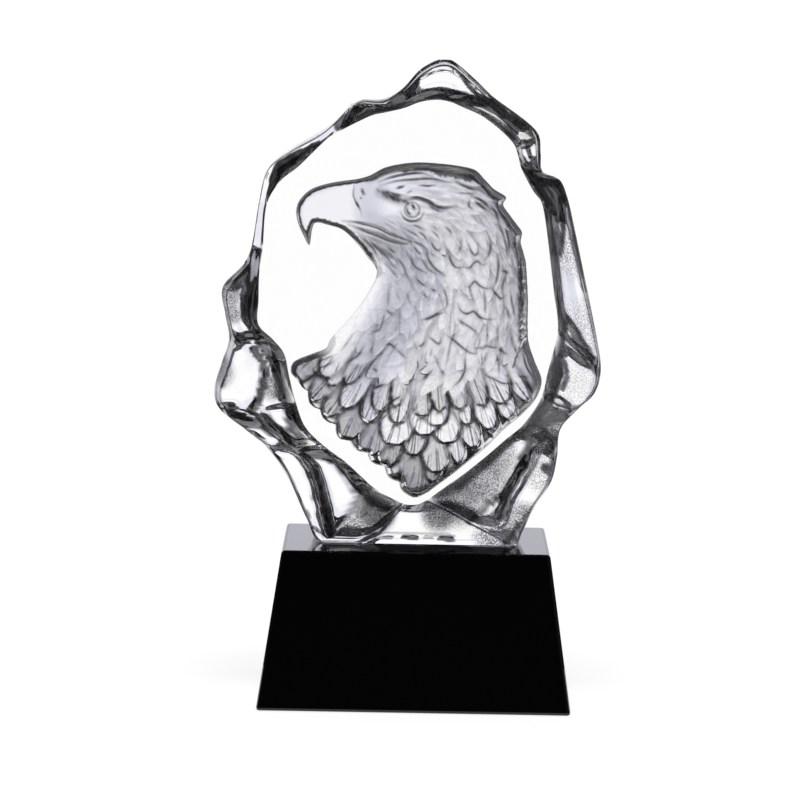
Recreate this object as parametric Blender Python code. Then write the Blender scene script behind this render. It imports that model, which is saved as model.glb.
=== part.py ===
"""Crystal eagle trophy: a chiselled block of clear crystal on a black glass base.

The eagle is carved into the flat back of the block and shows through its polished front.
Metres, +Z up, the front faces -Y, and the origin is in the middle of the underside.
"""

import math

import bmesh
import bpy
import numpy as np
from mathutils import Vector
from mathutils.geometry import delaunay_2d_cdt

# Driving sizes of the crystal block
BLOCK_HEIGHT = 0.177
BLOCK_DEPTH = 0.038
FOOT_FRONT = -0.013
EDGE_ROUND = 0.0008
EDGE_KNOCK = 0.0012
BACK_CHAMFER = 0.0015
KNOCK_SEED = 3

# Driving sizes of the base
BASE_HEIGHT = 0.058
BASE_LEDGE_SIDE = 0.0127
BASE_LEDGE_FRONT = 0.011
BASE_FLARE_SIDE = 0.0085
BASE_FLARE_FRONT = 0.008
BASE_CHAMFER = 0.0012
CHAMFER_STEPS = 2
SEAT_GAP = 0.0003
BLOCK_OFFSET = 0.0006

# The carving, cut into the back of the block
CARVING_DEPTH = 0.0105
WALL_REACH = 0.0075
FEATHER_LIFT = 0.0016
FADE_WIDTH = 0.030
FEATHER_SEED = 7
SMALLEST_FEATHER = 0.0042

# How finely the solid is faceted
COLUMNS_PER_FACET = 3
ROWS_PER_FACET = 2
HEAD_FACET = 0.00165
CHEST_FACET = 0.00205
RASTER_STEP = 0.001
BLOCK_SHARP = math.radians(38)
BASE_SHARP = math.radians(15)

# All shapes below are drawn in hundredths of the block's height, from the middle of the foot
UNIT = BLOCK_HEIGHT / 100


def section(*knots, rib=False):
    """How the rim falls away on its way from the window's edge to the outline, as pairs of a share
    of that way and a share of the block's depth. At a rib it falls off fast on both sides."""
    return (*knots, rib)


def steep(left):
    """A dark wall that drops all the way, and leaves a share of the depth at the outline."""
    end = 1 - left
    return section((0.12, 0.10 * end), (0.38, 0.45 * end), (0.68, 0.78 * end), (0.90, 0.94 * end), (1, end))


def shelf(left, start=0.22, stop=0.85, high=0.32, low=0.36):
    """A short wall, then a clear and nearly level facet, then the outer edge."""
    return section((start * 0.4, high * 0.4), (start, high), ((start + stop) / 2, (high + low) / 2),
                   (stop, low), (1, 1 - left))


def rib(left, high=0.12):
    """A thick rib that runs out from the window to the outline."""
    end = 1 - left
    return section((0.15, 0.2 * high), (0.40, high), (0.70, high + 0.3 * (end - high)),
                   (0.90, high + 0.65 * (end - high)), (1, end), rib=True)


def crest(left, place, high=0.12, low=0.30):
    """Two clear facets with a ridge between them, which runs along the rim."""
    beyond = 1 - place
    return section((0.30 * place, 0.85 * low), (0.72 * place, low), (place, high),
                   (place + 0.35 * beyond, max(low, 0.8 - left)), (1, 1 - left))


# Corners of the chiselled rim, clockwise from the peak: a corner of the outline, the place on the
# polished window's edge that belongs to it, and how the block falls away between the two
RIM = (
    ((5.2, 99.9), (4.8, 92.5), shelf(0.14, start=0.30, stop=0.95, high=0.34)),
    ((8.2, 99.7), (7.6, 92.1), shelf(0.14, start=0.30, stop=0.94, high=0.34)),
    ((13.0, 95.9), (10.1, 91.1), shelf(0.20, start=0.42, stop=0.94, high=0.30)),
    ((16.6, 92.6), (14.0, 89.4), steep(0.34)),
    ((23.5, 87.7), (18.1, 86.4), steep(0.32)),
    ((26.3, 84.8), (20.8, 83.6), rib(0.34, high=0.16)),
    ((26.8, 80.9), (21.7, 81.1), shelf(0.34)),
    ((27.3, 77.2), (22.4, 78.7), steep(0.38)),
    ((30.9, 75.5), (24.9, 74.2), steep(0.34)),
    ((32.6, 71.8), (26.6, 72.0), steep(0.36)),
    ((33.8, 67.2), (27.6, 67.6), shelf(0.36, start=0.26, stop=0.80, high=0.26, low=0.34)),
    ((37.7, 50.3), (29.7, 52.8), shelf(0.38, start=0.24, stop=0.92, high=0.24, low=0.34)),
    ((39.4, 42.5), (30.4, 48.6), shelf(0.40, start=0.26, stop=0.94, high=0.24, low=0.34)),
    ((40.4, 35.9), (30.5, 44.8), rib(0.40, high=0.14)),
    ((39.1, 30.8), (28.6, 36.6), shelf(0.40, start=0.30, stop=0.92, high=0.26, low=0.34)),
    ((35.3, 27.1), (27.4, 31.4), rib(0.44, high=0.14)),
    ((32.1, 23.2), (23.9, 26.0), steep(0.46)),
    ((31.6, 17.5), (20.1, 22.6), crest(0.46, 0.62, high=0.10, low=0.20)),
    ((30.4, 12.2), (16.1, 19.0), crest(0.50, 0.60, high=0.10, low=0.20)),
    ((27.0, 7.0), (11.9, 15.5), crest(0.56, 0.66, high=0.10, low=0.20)),
    ((24.6, 2.5), (8.1, 12.7), crest(0.70, 0.74, high=0.08, low=0.16)),
    ((23.0, 0.0), (4.5, 10.0), rib(0.84, high=0.05)),
    ((13.7, 0.0), (2.6, 9.0), shelf(0.84, high=0.08, low=0.12)),
    ((2.7, 0.0), (1.0, 8.8), shelf(0.84, high=0.08, low=0.12)),
    ((-8.0, 0.0), (-0.5, 9.0), rib(0.84, high=0.04)),
    ((-17.9, 0.0), (-2.3, 9.8), crest(0.84, 0.86, high=0.10, low=0.16)),
    ((-20.6, 4.0), (-6.4, 12.0), crest(0.70, 0.77, high=0.10, low=0.20)),
    ((-25.4, 13.3), (-12.6, 17.5), crest(0.56, 0.54, high=0.10, low=0.22)),
    ((-29.8, 19.0), (-17.1, 20.8), rib(0.50, high=0.10)),
    ((-34.9, 22.9), (-21.1, 24.8), crest(0.46, 0.52, high=0.12, low=0.22)),
    ((-39.7, 26.6), (-23.2, 30.2), rib(0.40, high=0.16)),
    ((-40.6, 30.6), (-24.5, 35.1), shelf(0.40, start=0.24, stop=0.92, high=0.15, low=0.24)),
    ((-39.0, 36.5), (-25.6, 39.8), shelf(0.40, start=0.24, stop=0.88, high=0.16, low=0.26)),
    ((-37.7, 41.2), (-27.9, 42.7), rib(0.36, high=0.18)),
    ((-38.5, 46.0), (-31.0, 45.9), shelf(0.36, start=0.45, stop=0.90, high=0.30)),
    ((-39.1, 51.9), (-31.0, 50.9), shelf(0.36, start=0.50, stop=0.90, high=0.30)),
    ((-34.6, 57.2), (-30.9, 56.6), steep(0.38)),
    ((-32.6, 62.4), (-30.3, 61.0), shelf(0.95, start=0.30, stop=0.90, high=0.02, low=0.04)),
    ((-31.3, 71.0), (-29.6, 70.4), shelf(0.95, start=0.30, stop=0.90, high=0.02, low=0.04)),
    ((-29.7, 77.4), (-26.9, 75.3), shelf(0.84, start=0.60, stop=0.95, high=0.12, low=0.13)),
    ((-25.2, 81.2), (-23.2, 78.4), shelf(0.84, start=0.60, stop=0.95, high=0.12, low=0.13)),
    ((-17.8, 85.7), (-17.3, 84.3), shelf(0.95, start=0.30, stop=0.90, high=0.02, low=0.04)),
    ((-13.1, 90.4), (-15.4, 85.5), shelf(0.95, start=0.30, stop=0.90, high=0.02, low=0.04)),
    ((-12.2, 90.8), (-14.5, 86.0), steep(0.64)),
    ((-10.5, 91.6), (-8.6, 89.0), shelf(0.48, start=0.55, stop=0.90, high=0.34)),
    ((-5.9, 91.8), (-5.4, 89.8), rib(0.40, high=0.22)),
    ((-2.2, 94.0), (-1.8, 90.7), steep(0.40)),
    ((1.4, 97.8), (1.5, 92.0), shelf(0.16, start=0.30, stop=0.94, high=0.34)),
)
FOOT_CORNERS = range(21, 26)

# The outline of the carving, clockwise from the tip of the beak
EAGLE_OUTLINE = (
    (-21.0, 61.0), (-22.2, 62.9), (-23.2, 65.0), (-23.8, 67.1), (-23.7, 69.2), (-22.7, 71.0),
    (-20.8, 72.7), (-17.9, 73.8), (-14.6, 74.5), (-11.3, 75.0), (-8.6, 75.8), (-5.7, 77.4),
    (-2.2, 78.3), (1.6, 78.7), (6.2, 78.5), (9.9, 78.1), (13.3, 77.3), (15.4, 75.3),
    (17.3, 73.4), (19.8, 71.8), (19.3, 70.1), (21.2, 67.4), (23.3, 64.5), (23.1, 62.4),
    (24.2, 58.5), (24.7, 53.6), (24.9, 49.9), (25.1, 42.1), (26.4, 37.9), (28.0, 34.1),
    (28.0, 32.0), (26.8, 29.2), (24.1, 26.1), (20.3, 22.8), (17.0, 19.3), (13.4, 16.2),
    (9.9, 13.2), (6.8, 10.8), (4.1, 8.8), (1.4, 8.0), (-1.4, 10.0), (-5.3, 14.0),
    (-8.0, 16.0), (-10.6, 18.1), (-14.0, 20.2), (-16.1, 23.1), (-19.3, 26.1), (-21.3, 29.0),
    (-22.8, 32.1), (-24.5, 34.2), (-23.9, 36.4), (-20.1, 38.2), (-17.2, 39.4), (-16.3, 41.3),
    (-13.9, 44.1), (-11.5, 46.9), (-8.6, 51.2), (-6.8, 55.6), (-8.8, 58.7), (-11.1, 61.6),
    (-14.1, 64.3), (-17.2, 65.3), (-19.7, 65.7), (-20.5, 64.2),
)
FADING_THROAT = ((-7.4, 55.0), (-9.6, 50.0), (-12.6, 45.6), (-16.6, 41.0))

# Rows of feathers lie between these lines, each drawn from the throat side to the crown side
FEATHER_GUIDES = (
    ((-12.1, 63.0), (-9.2, 67.8), (-8.0, 71.0), (-7.7, 73.9), (-6.9, 76.8)),
    ((-10.4, 61.3), (-3.8, 65.2), (-0.5, 67.8), (1.9, 73.2), (-0.3, 78.8)),
    ((-8.3, 58.9), (0.0, 61.5), (7.2, 66.6), (9.1, 72.3), (7.0, 78.7)),
    ((-6.8, 56.2), (2.2, 56.5), (11.4, 60.9), (16.5, 68.3), (15.9, 74.7)),
    ((-7.8, 53.2), (3.3, 50.3), (13.7, 52.6), (20.8, 59.0), (22.3, 66.3)),
    ((-11.8, 46.3), (0.3, 42.9), (11.8, 43.1), (20.0, 48.5), (24.7, 52.8)),
    ((-16.3, 41.3), (-5.8, 34.4), (6.8, 32.5), (18.2, 36.9), (25.3, 43.3)),
    ((-20.9, 38.5), (-9.9, 28.0), (4.9, 24.0), (19.4, 29.6), (26.7, 37.1)),
    ((-24.2, 35.5), (-12.9, 20.5), (1.4, 8.7), (19.5, 23.6), (28.1, 32.7)),
)
ROWS_AFTER_GUIDE = (0, 4, 4, 4, 3, 3, 2, 3)
FEATHERS_IN_ROW = (14, 15, 15, 14, 13, 12, 12, 11, 11)

# Lines and spots of the head: where they run, their width and how far they stand out or in
HEAD_MARKS = (
    (((-7.7, 74.6), (-4.8, 73.2), (-1.2, 71.9), (2.3, 72.0), (6.5, 71.6), (10.5, 71.0)), 1.3, 1.1),
    (((-7.4, 72.6), (-4.6, 71.6), (-1.6, 70.4)), 0.9, -1.0),
    (((0.3, 69.2),), 2.3, -0.9),
    (((0.3, 69.2),), 1.2, 1.5),
    (((-10.4, 72.4),), 0.7, -0.7),
    (((-12.4, 73.4), (-12.0, 70.9), (-10.5, 68.0)), 0.6, -0.4),
    (((-14.4, 66.5), (-10.9, 65.5), (-7.1, 64.5), (-3.8, 63.3), (-1.0, 62.3)), 0.6, -0.8),
    (((-22.3, 66.1), (-21.9, 69.5), (-19.3, 71.6), (-14.7, 72.6)), 1.2, 0.7),
    (((-3.2, 65.8), (4.1, 64.5), (10.4, 63.0)), 4.0, 1.4),
)


def along(points, count, closed=False):
    """Points of a smooth curve through the given ones, evenly stepped between each pair."""
    points = np.array(points, dtype=float)
    if closed:
        padded = np.vstack((points[-1:], points, points[:2]))
    else:
        first, last = 2 * points[0] - points[1], 2 * points[-1] - points[-2]
        padded = np.vstack((first[None], points, last[None]))
    curve = []
    for a, b, c, d in zip(padded, padded[1:], padded[2:], padded[3:]):
        out_of_b = (c - a) / 2
        into_c = (d - b) / 2
        reach = np.linalg.norm(c - b)
        for tangent in (out_of_b, into_c):
            tangent *= min(1.0, reach / max(np.linalg.norm(tangent), 1e-9))
        for t in np.arange(count) / count:
            curve.append((2 * t**3 - 3 * t**2 + 1) * b + (t**3 - 2 * t**2 + t) * out_of_b
                         + (3 * t**2 - 2 * t**3) * c + (t**3 - t**2) * into_c)
    if not closed:
        curve.append(points[-1])
    return np.array(curve)


def distance_to_line(places, line, closed=False):
    """Distance of each place from a chain of points, or from a single point."""
    line = np.array(line, dtype=float)
    nearest = np.full(len(places), np.inf)
    if len(line) == 1:
        return np.linalg.norm(places - line[0], axis=1)
    ends = np.roll(line, -1, axis=0) if closed else line[1:]
    for start, end in zip(line, ends):
        run = end - start
        share = np.clip((places - start) @ run / max(run @ run, 1e-12), 0, 1)
        nearest = np.minimum(nearest, np.linalg.norm(places - start - share[:, None] * run, axis=1))
    return nearest


def is_inside(places, loop):
    """Whether each place lies inside a closed loop of points."""
    inside = np.zeros(len(places), dtype=bool)
    for (x1, z1), (x2, z2) in zip(loop, np.roll(loop, -1, axis=0)):
        if z1 == z2:
            continue
        crosses = (places[:, 1] < z1) != (places[:, 1] < z2)
        inside ^= crosses & (places[:, 0] < x1 + (places[:, 1] - z1) * (x2 - x1) / (z2 - z1))
    return inside


def smooth_step(value):
    """A soft ramp from 0 to 1."""
    value = np.clip(value, 0, 1)
    return value * value * (3 - 2 * value)


class Swelling:
    """The full, rounded form that fills an outline, as if blown up from it like a cushion."""

    def __init__(self, loop, step):
        self.loop = loop
        self.step = step
        self.corner = loop.min(axis=0) - 3 * step
        across, up = np.ceil((loop.max(axis=0) + 3 * step - self.corner) / step).astype(int)
        self.shape = (across + 1, up + 1)
        grid = np.stack(np.meshgrid(*map(np.arange, self.shape), indexing="ij"), axis=-1)
        places = self.corner + grid.reshape(-1, 2) * step
        inside = is_inside(places, loop).reshape(self.shape)
        bulge = np.zeros(self.shape)
        for _ in range(60 + 2 * across * up // 8):
            bulge[1:-1, 1:-1] = (bulge[2:, 1:-1] + bulge[:-2, 1:-1] + bulge[1:-1, 2:]
                                 + bulge[1:-1, :-2] + step * step) / 4
            bulge[~inside] = 0
        edge = distance_to_line(places, loop, closed=True).reshape(self.shape)
        known = inside & (edge > 0.8 * step)
        self.fullness = np.where(known, 2 * bulge / np.maximum(edge, step / 2), 0)
        weight = known.astype(float)
        for _ in range(6):
            self.fullness, weight = self.spread(self.fullness * weight), self.spread(weight)
            self.fullness = self.fullness / np.maximum(weight, 1e-6)
            weight = np.minimum(weight * 9, 1)

    @staticmethod
    def spread(field):
        """Each cell's mean with its neighbours."""
        padded = np.pad(field, 1)
        total = sum(np.roll(padded, (i, j), axis=(0, 1)) for i in (-1, 0, 1) for j in (-1, 0, 1))
        return total[1:-1, 1:-1] / 9

    def height(self, places):
        """Height of the rounded form over each place, zero at the outline."""
        spot = (places - self.corner) / self.step
        low = np.clip(np.floor(spot).astype(int), 0, np.array(self.shape) - 2)
        part = np.clip(spot - low, 0, 1)
        i, j = low.T
        u, v = part.T
        fullness = ((1 - u) * (1 - v) * self.fullness[i, j] + u * (1 - v) * self.fullness[i + 1, j]
                    + (1 - u) * v * self.fullness[i, j + 1] + u * v * self.fullness[i + 1, j + 1])
        edge = distance_to_line(places, self.loop, closed=True)
        return np.where(is_inside(places, self.loop), np.sqrt(np.maximum(fullness * edge, 0)), 0)


def feathers():
    """Root, direction, length and half width of each feather, from the chest up to the head."""
    chance = np.random.default_rng(FEATHER_SEED)
    guides = [along(np.array(guide) * UNIT, 12) for guide in FEATHER_GUIDES]
    spans = len(guides) - 1
    plumage = []
    for span, rows in enumerate(ROWS_AFTER_GUIDE):
        for row in range(rows):
            place = span + (row + 1) / rows
            count = round(np.interp(place, range(spans + 1), FEATHERS_IN_ROW))
            for number in range(-1, count + 1):
                side = (number + 0.5 * (row % 2) + 0.5 + chance.normal(0, 0.10)) / count
                down = place - 1.0 / max(rows, 1) + chance.normal(0, 0.05)
                tip = on_guides(guides, down + 1.0 / max(rows, 1), side)
                back = on_guides(guides, down - 0.7 / max(rows, 1), side)
                run = tip - back
                length = np.linalg.norm(run) * (1 + chance.normal(0, 0.06))
                width = np.linalg.norm(on_guides(guides, down, side + 0.55 / count)
                                       - on_guides(guides, down, side - 0.55 / count))
                turn = chance.normal(0, 0.10)
                way = run / np.linalg.norm(run)
                way = np.array((way[0] * math.cos(turn) - way[1] * math.sin(turn),
                                way[0] * math.sin(turn) + way[1] * math.cos(turn)))
                plumage.append((place, tip - way * length, way, length, width * 0.62))
    plumage.sort(key=lambda feather: -feather[0])
    return plumage


def on_guides(guides, place, side):
    """The point at a share of the way across the guide lines, between the two nearest ones."""
    low = int(np.clip(math.floor(place), 0, len(guides) - 2))
    spots = []
    for guide in (guides[low], guides[low + 1]):
        at = side * (len(guide) - 1)
        first = int(np.clip(math.floor(at), 0, len(guide) - 2))
        spots.append(guide[first] + (guide[first + 1] - guide[first]) * (at - first))
    return spots[0] + (spots[1] - spots[0]) * (place - low)


def feather_relief(places):
    """How far the overlapping feathers stand out at each place."""
    relief = np.zeros(len(places))
    for _, root, way, length, half_width in feathers():
        if 2 * half_width < SMALLEST_FEATHER:
            continue
        offset = places - root
        run = offset @ way / length
        across = offset @ np.array((-way[1], way[0])) / half_width
        tip = np.sqrt(np.clip(1 - np.clip((run - 0.45) / 0.55, 0, 1) ** 2, 0, 1))
        covers = smooth_step((tip - np.abs(across)) * 4) * (run > 0) * (run < 1)
        rise = FEATHER_LIFT * min(1.0, half_width / 0.005) * (0.15 + 0.85 * run - 0.35 * across**2)
        relief += (rise - relief) * covers
    return relief


def carving_height(places, swelling):
    """Depth of the carving under each place of the back face."""
    rounded = swelling.height(places)
    depth = CARVING_DEPTH * (1 - np.exp(-rounded / WALL_REACH))
    for line, width, height in HEAD_MARKS:
        distance = distance_to_line(places, np.array(line) * UNIT) / (width * UNIT)
        depth += height * 0.001 * np.exp(-distance**2) * smooth_step(rounded / CARVING_DEPTH * 2)
    edge = distance_to_line(places, swelling.loop, closed=True)
    depth += feather_relief(places) * smooth_step(edge / 0.003)
    fade = distance_to_line(places, along(np.array(FADING_THROAT) * UNIT, 6))
    depth *= 0.04 + 0.96 * smooth_step(fade / FADE_WIDTH)
    return np.where(rounded > 0, np.maximum(depth, 0), 0)


def lattice(loop, step):
    """Staggered points that fill a loop, a step apart."""
    low, high = loop.min(axis=0), loop.max(axis=0)
    rise = step * math.sqrt(3) / 2
    points = []
    for row in range(int((high[1] - low[1]) / rise) + 1):
        for column in range(int((high[0] - low[0]) / step) + 2):
            points.append((low[0] + (column + 0.5 * (row % 2)) * step, low[1] + (row + 0.3) * rise))
    points = np.array(points)
    return points[is_inside(points, loop)]


def block_middle():
    """Half way between the outline's left and right ends, in the drawing's own hundredths."""
    across = [corner[0][0] for corner in RIM]
    return (max(across) + min(across)) / 2


def rim_columns():
    """The rim's sections with more of them between its corners: where each starts and ends, its
    knots, how far the outline is knocked in and whether it stands on the foot."""
    between = shelf(0.42)
    knocks = np.random.default_rng(KNOCK_SEED).uniform(0, EDGE_KNOCK, len(RIM))
    columns = []
    for index, (outline, window, knots) in enumerate(RIM):
        after = (index + 1) % len(RIM)
        next_outline, next_window, next_knots = RIM[after]
        here, there = np.array(knots[:-1]), np.array(next_knots[:-1])
        on_foot = index in FOOT_CORNERS and after in FOOT_CORNERS
        for step in range(COLUMNS_PER_FACET):
            u = step / COLUMNS_PER_FACET
            out_of_rib, into_rib = knots[-1], next_knots[-1]
            blend = 1 - (1 - u)**3 if out_of_rib else u
            if into_rib:
                blend = u if out_of_rib else u**3
            shape = here + (there - here) * blend
            if out_of_rib and into_rib and not on_foot:
                hollow = 1 - abs(2 * u - 1)**3
                shape[:-1] += (np.array(between[:-2]) - shape[:-1]) * hollow
            columns.append((
                np.array(outline) * (1 - u) + np.array(next_outline) * u,
                np.array(window) * (1 - u) + np.array(next_window) * u,
                shape, knocks[index] * (1 - u) + knocks[after] * u,
                on_foot or (step == 0 and index in FOOT_CORNERS)))
    return [np.array(part) for part in zip(*columns)]


def rim_rings():
    """Rings of points from the edge of the front window round the outline to the flat back."""
    outline, window, knots, knock, on_foot = rim_columns()
    middle = np.array((block_middle(), 0))
    outline, window = (outline - middle) * UNIT, (window - middle) * UNIT
    front, back = -BLOCK_DEPTH / 2, BLOCK_DEPTH / 2
    knots = np.concatenate((np.zeros((len(knots), 1, 2)), knots), axis=1)
    foot_fall = (FOOT_FRONT - front) / BLOCK_DEPTH
    knots[on_foot, -1, 1] = foot_fall
    inward = window - outline
    inward = inward / np.linalg.norm(inward, axis=1)[:, None]
    rounding = inward * np.where(on_foot, 0, EDGE_ROUND)[:, None]
    rings = []
    steps = (knots.shape[1] - 1) * ROWS_PER_FACET
    for row in range(steps + 1):
        knot, part = divmod(row, ROWS_PER_FACET)
        part = part / ROWS_PER_FACET
        later = min(knot + 1, knots.shape[1] - 1)
        share, fall = (knots[:, knot] * (1 - part) + knots[:, later] * part).T
        place = window + (outline + rounding - window) * share[:, None]
        rings.append(np.column_stack((place[:, 0], front + fall * BLOCK_DEPTH, place[:, 1])))
    edge = rings[-1][:, 1]
    knocked = outline + inward * np.where(on_foot, 0, knock)[:, None]
    chamfered = knocked + inward * BACK_CHAMFER
    heel = np.full(len(edge), back - BACK_CHAMFER)
    rings.append(np.column_stack((outline[:, 0], edge + (heel - edge) * 0.4, outline[:, 1])))
    rings.append(np.column_stack((knocked[:, 0], heel, knocked[:, 1])))
    rings.append(np.column_stack((chamfered[:, 0], np.full(len(edge), back), chamfered[:, 1])))
    return rings


def build_block():
    """The crystal block, with its chiselled rim and the eagle cut into its back."""
    rings = rim_rings()
    around = len(rings[0])
    points = np.vstack(rings)
    faces = [tuple(range(around))]
    for ring in range(len(rings) - 1):
        for column in range(around):
            beside = (column + 1) % around
            here, there = ring * around, (ring + 1) * around
            faces.append((here + column, there + column, there + beside, here + beside))

    window = rings[-1][:, (0, 2)]
    outline = along(np.array(EAGLE_OUTLINE) * UNIT, 2, closed=True)
    swelling = Swelling(outline, RASTER_STEP)
    fine, coarse = lattice(outline, HEAD_FACET), lattice(outline, CHEST_FACET)
    neck = FEATHER_GUIDES[5][2][1] * UNIT
    fill = np.vstack((fine[fine[:, 1] > neck], coarse[coarse[:, 1] <= neck]))
    fill = fill[distance_to_line(fill, outline, closed=True) > 0.4 * HEAD_FACET]
    flat = np.vstack((window, outline, fill))
    border = [(i, (i + 1) % around) for i in range(around)]
    inner = [(around + i, around + (i + 1) % len(outline)) for i in range(len(outline))]
    net = delaunay_2d_cdt([Vector(p) for p in flat], border + inner, [list(range(around))], 1, 1e-9)
    spots = np.array([tuple(spot) for spot in net[0]])
    depth = np.zeros(len(spots))
    depth[around:] = carving_height(spots[around:], swelling)
    carved = np.column_stack((spots[:, 0], BLOCK_DEPTH / 2 - depth, spots[:, 1]))
    last_ring = len(points) - around
    number = []
    extra = []
    for index, source in enumerate(net[3]):
        if source and source[0] < around:
            number.append(last_ring + source[0])
        else:
            number.append(len(points) + len(extra))
            extra.append(carved[index])
    faces += [tuple(number[i] for i in face) for face in net[2]]
    return make_object("crystal", np.vstack((points, extra)), faces, crystal_finish(), BLOCK_SHARP)


def make_object(name, points, faces, finish, sharp_angle):
    """A closed mesh object with its faces turned out and its sharp edges marked."""
    mesh = bpy.data.meshes.new(name)
    mesh.from_pydata([tuple(point) for point in points], [], faces)
    shape = bmesh.new()
    shape.from_mesh(mesh)
    bmesh.ops.triangulate(shape, faces=shape.faces[:])
    bmesh.ops.recalc_face_normals(shape, faces=shape.faces[:])
    shape.to_mesh(mesh)
    shape.free()
    mesh.shade_smooth()
    mesh.set_sharp_from_angle(angle=sharp_angle)
    mesh.materials.append(finish)
    built = bpy.data.objects.new(name, mesh)
    bpy.context.scene.collection.objects.link(built)
    return built


def build_base():
    """The black glass base, a block with sloping sides that carries the crystal's foot."""
    foot = [(RIM[corner][0][0] - block_middle()) * UNIT for corner in FOOT_CORNERS]
    half_foot = (max(foot) - min(foot)) / 2
    half_top = (half_foot + BASE_LEDGE_SIDE, BLOCK_DEPTH / 2 + BASE_LEDGE_FRONT)
    half_bottom = (half_top[0] + BASE_FLARE_SIDE, half_top[1] + BASE_FLARE_FRONT)
    shape = bmesh.new()
    bmesh.ops.create_cube(shape, size=2)
    for corner in shape.verts:
        half = half_top if corner.co.z > 0 else half_bottom
        height = BASE_HEIGHT if corner.co.z > 0 else 0.0
        corner.co = Vector((corner.co.x * half[0], corner.co.y * half[1], height))
    bmesh.ops.bevel(shape, geom=shape.edges[:], offset=BASE_CHAMFER, offset_type="OFFSET",
                    segments=CHAMFER_STEPS, profile=0.5, affect="EDGES")
    points = [tuple(corner.co) for corner in shape.verts]
    shape.verts.index_update()
    faces = [tuple(corner.index for corner in face.verts) for face in shape.faces]
    shape.free()
    base = make_object("base", points, faces, black_glass_finish(), BASE_SHARP)
    base.location.x = min(foot) + half_foot - BLOCK_OFFSET
    return base


def make_finish(name, colour, roughness, transmission, refraction):
    """A Principled finish."""
    finish = bpy.data.materials.new(name)
    finish.use_nodes = True
    shader = finish.node_tree.nodes["Principled BSDF"]
    shader.inputs["Base Color"].default_value = (*colour, 1)
    shader.inputs["Roughness"].default_value = roughness
    shader.inputs["Metallic"].default_value = 0.0
    shader.inputs["Transmission Weight"].default_value = transmission
    shader.inputs["IOR"].default_value = refraction
    finish.diffuse_color = (*colour, 1)
    return finish


def crystal_finish():
    """Clear polished crystal."""
    return make_finish("clear crystal", (0.97, 0.97, 0.99), 0.02, 1.0, 1.52)


def black_glass_finish():
    """Polished black glass."""
    return make_finish("black glass", (0.006, 0.006, 0.007), 0.04, 0.0, 1.5)


def main():
    """Clear the scene and build the two pieces."""
    for leftover in list(bpy.data.objects):
        bpy.data.objects.remove(leftover)
    build_base()
    block = build_block()
    block.location.z = BASE_HEIGHT + SEAT_GAP


main()
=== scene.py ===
"""Crystal eagle trophy: a chiselled block of clear crystal on a black glass base.

The block, its chiselled rim and the eagle carved into its flat back are one fine mesh, which stands
for the plain crystal solid. The base keeps its solid and gets its polish here. Metres, +Z up, the
front faces -Y. All drawings are in hundredths of the block's height, from the middle of its foot.
"""

import logging
import math
from dataclasses import dataclass, field
from enum import Enum
from typing import Any, Callable, Iterable, Optional, Sequence, Union

import bmesh
import bpy
import numpy as np
from mathutils import Matrix, Vector
from mathutils.geometry import delaunay_2d_cdt


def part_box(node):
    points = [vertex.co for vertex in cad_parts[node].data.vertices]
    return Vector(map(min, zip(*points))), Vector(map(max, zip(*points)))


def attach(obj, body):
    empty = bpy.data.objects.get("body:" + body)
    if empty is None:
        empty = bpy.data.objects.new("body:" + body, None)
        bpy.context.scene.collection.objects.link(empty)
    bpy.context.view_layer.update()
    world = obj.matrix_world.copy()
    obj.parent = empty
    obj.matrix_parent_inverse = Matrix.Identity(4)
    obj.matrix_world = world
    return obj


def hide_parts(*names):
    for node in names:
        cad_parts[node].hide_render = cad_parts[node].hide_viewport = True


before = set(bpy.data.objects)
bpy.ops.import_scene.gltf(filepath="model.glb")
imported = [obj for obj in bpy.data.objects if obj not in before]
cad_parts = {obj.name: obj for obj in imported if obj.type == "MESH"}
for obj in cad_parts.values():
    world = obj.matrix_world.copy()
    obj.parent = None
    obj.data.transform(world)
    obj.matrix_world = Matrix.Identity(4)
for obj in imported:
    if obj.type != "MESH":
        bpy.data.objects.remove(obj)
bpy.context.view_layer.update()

LOG = logging.getLogger("trophy")

Point = tuple[float, float]
Colour = tuple[float, float, float, float]
Number = Union[int, float, "Wire"]
Settings = Optional[dict[str, Any]]
Inputs = Optional[dict[Union[str, int], Any]]
MILLIMETRE = 0.001
TINY = 1e-12
WHITE: Colour = (1.0, 1.0, 1.0, 1.0)


def arithmetic(operation: str, reflected: bool = False) -> Callable[["Wire", Number], "Wire"]:
    """Make an operator of a wire.

    Args:
        operation: Name of the Math node's operation.
        reflected: Whether the wire is the operator's second value.

    Returns:
        The operator, which adds one Math node.
    """
    def operator(wire: "Wire", other: Number) -> "Wire":
        """The wire and another value, in one Math node."""
        return wire.maths(operation, *((other, wire) if reflected else (wire, other)))
    return operator


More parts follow.
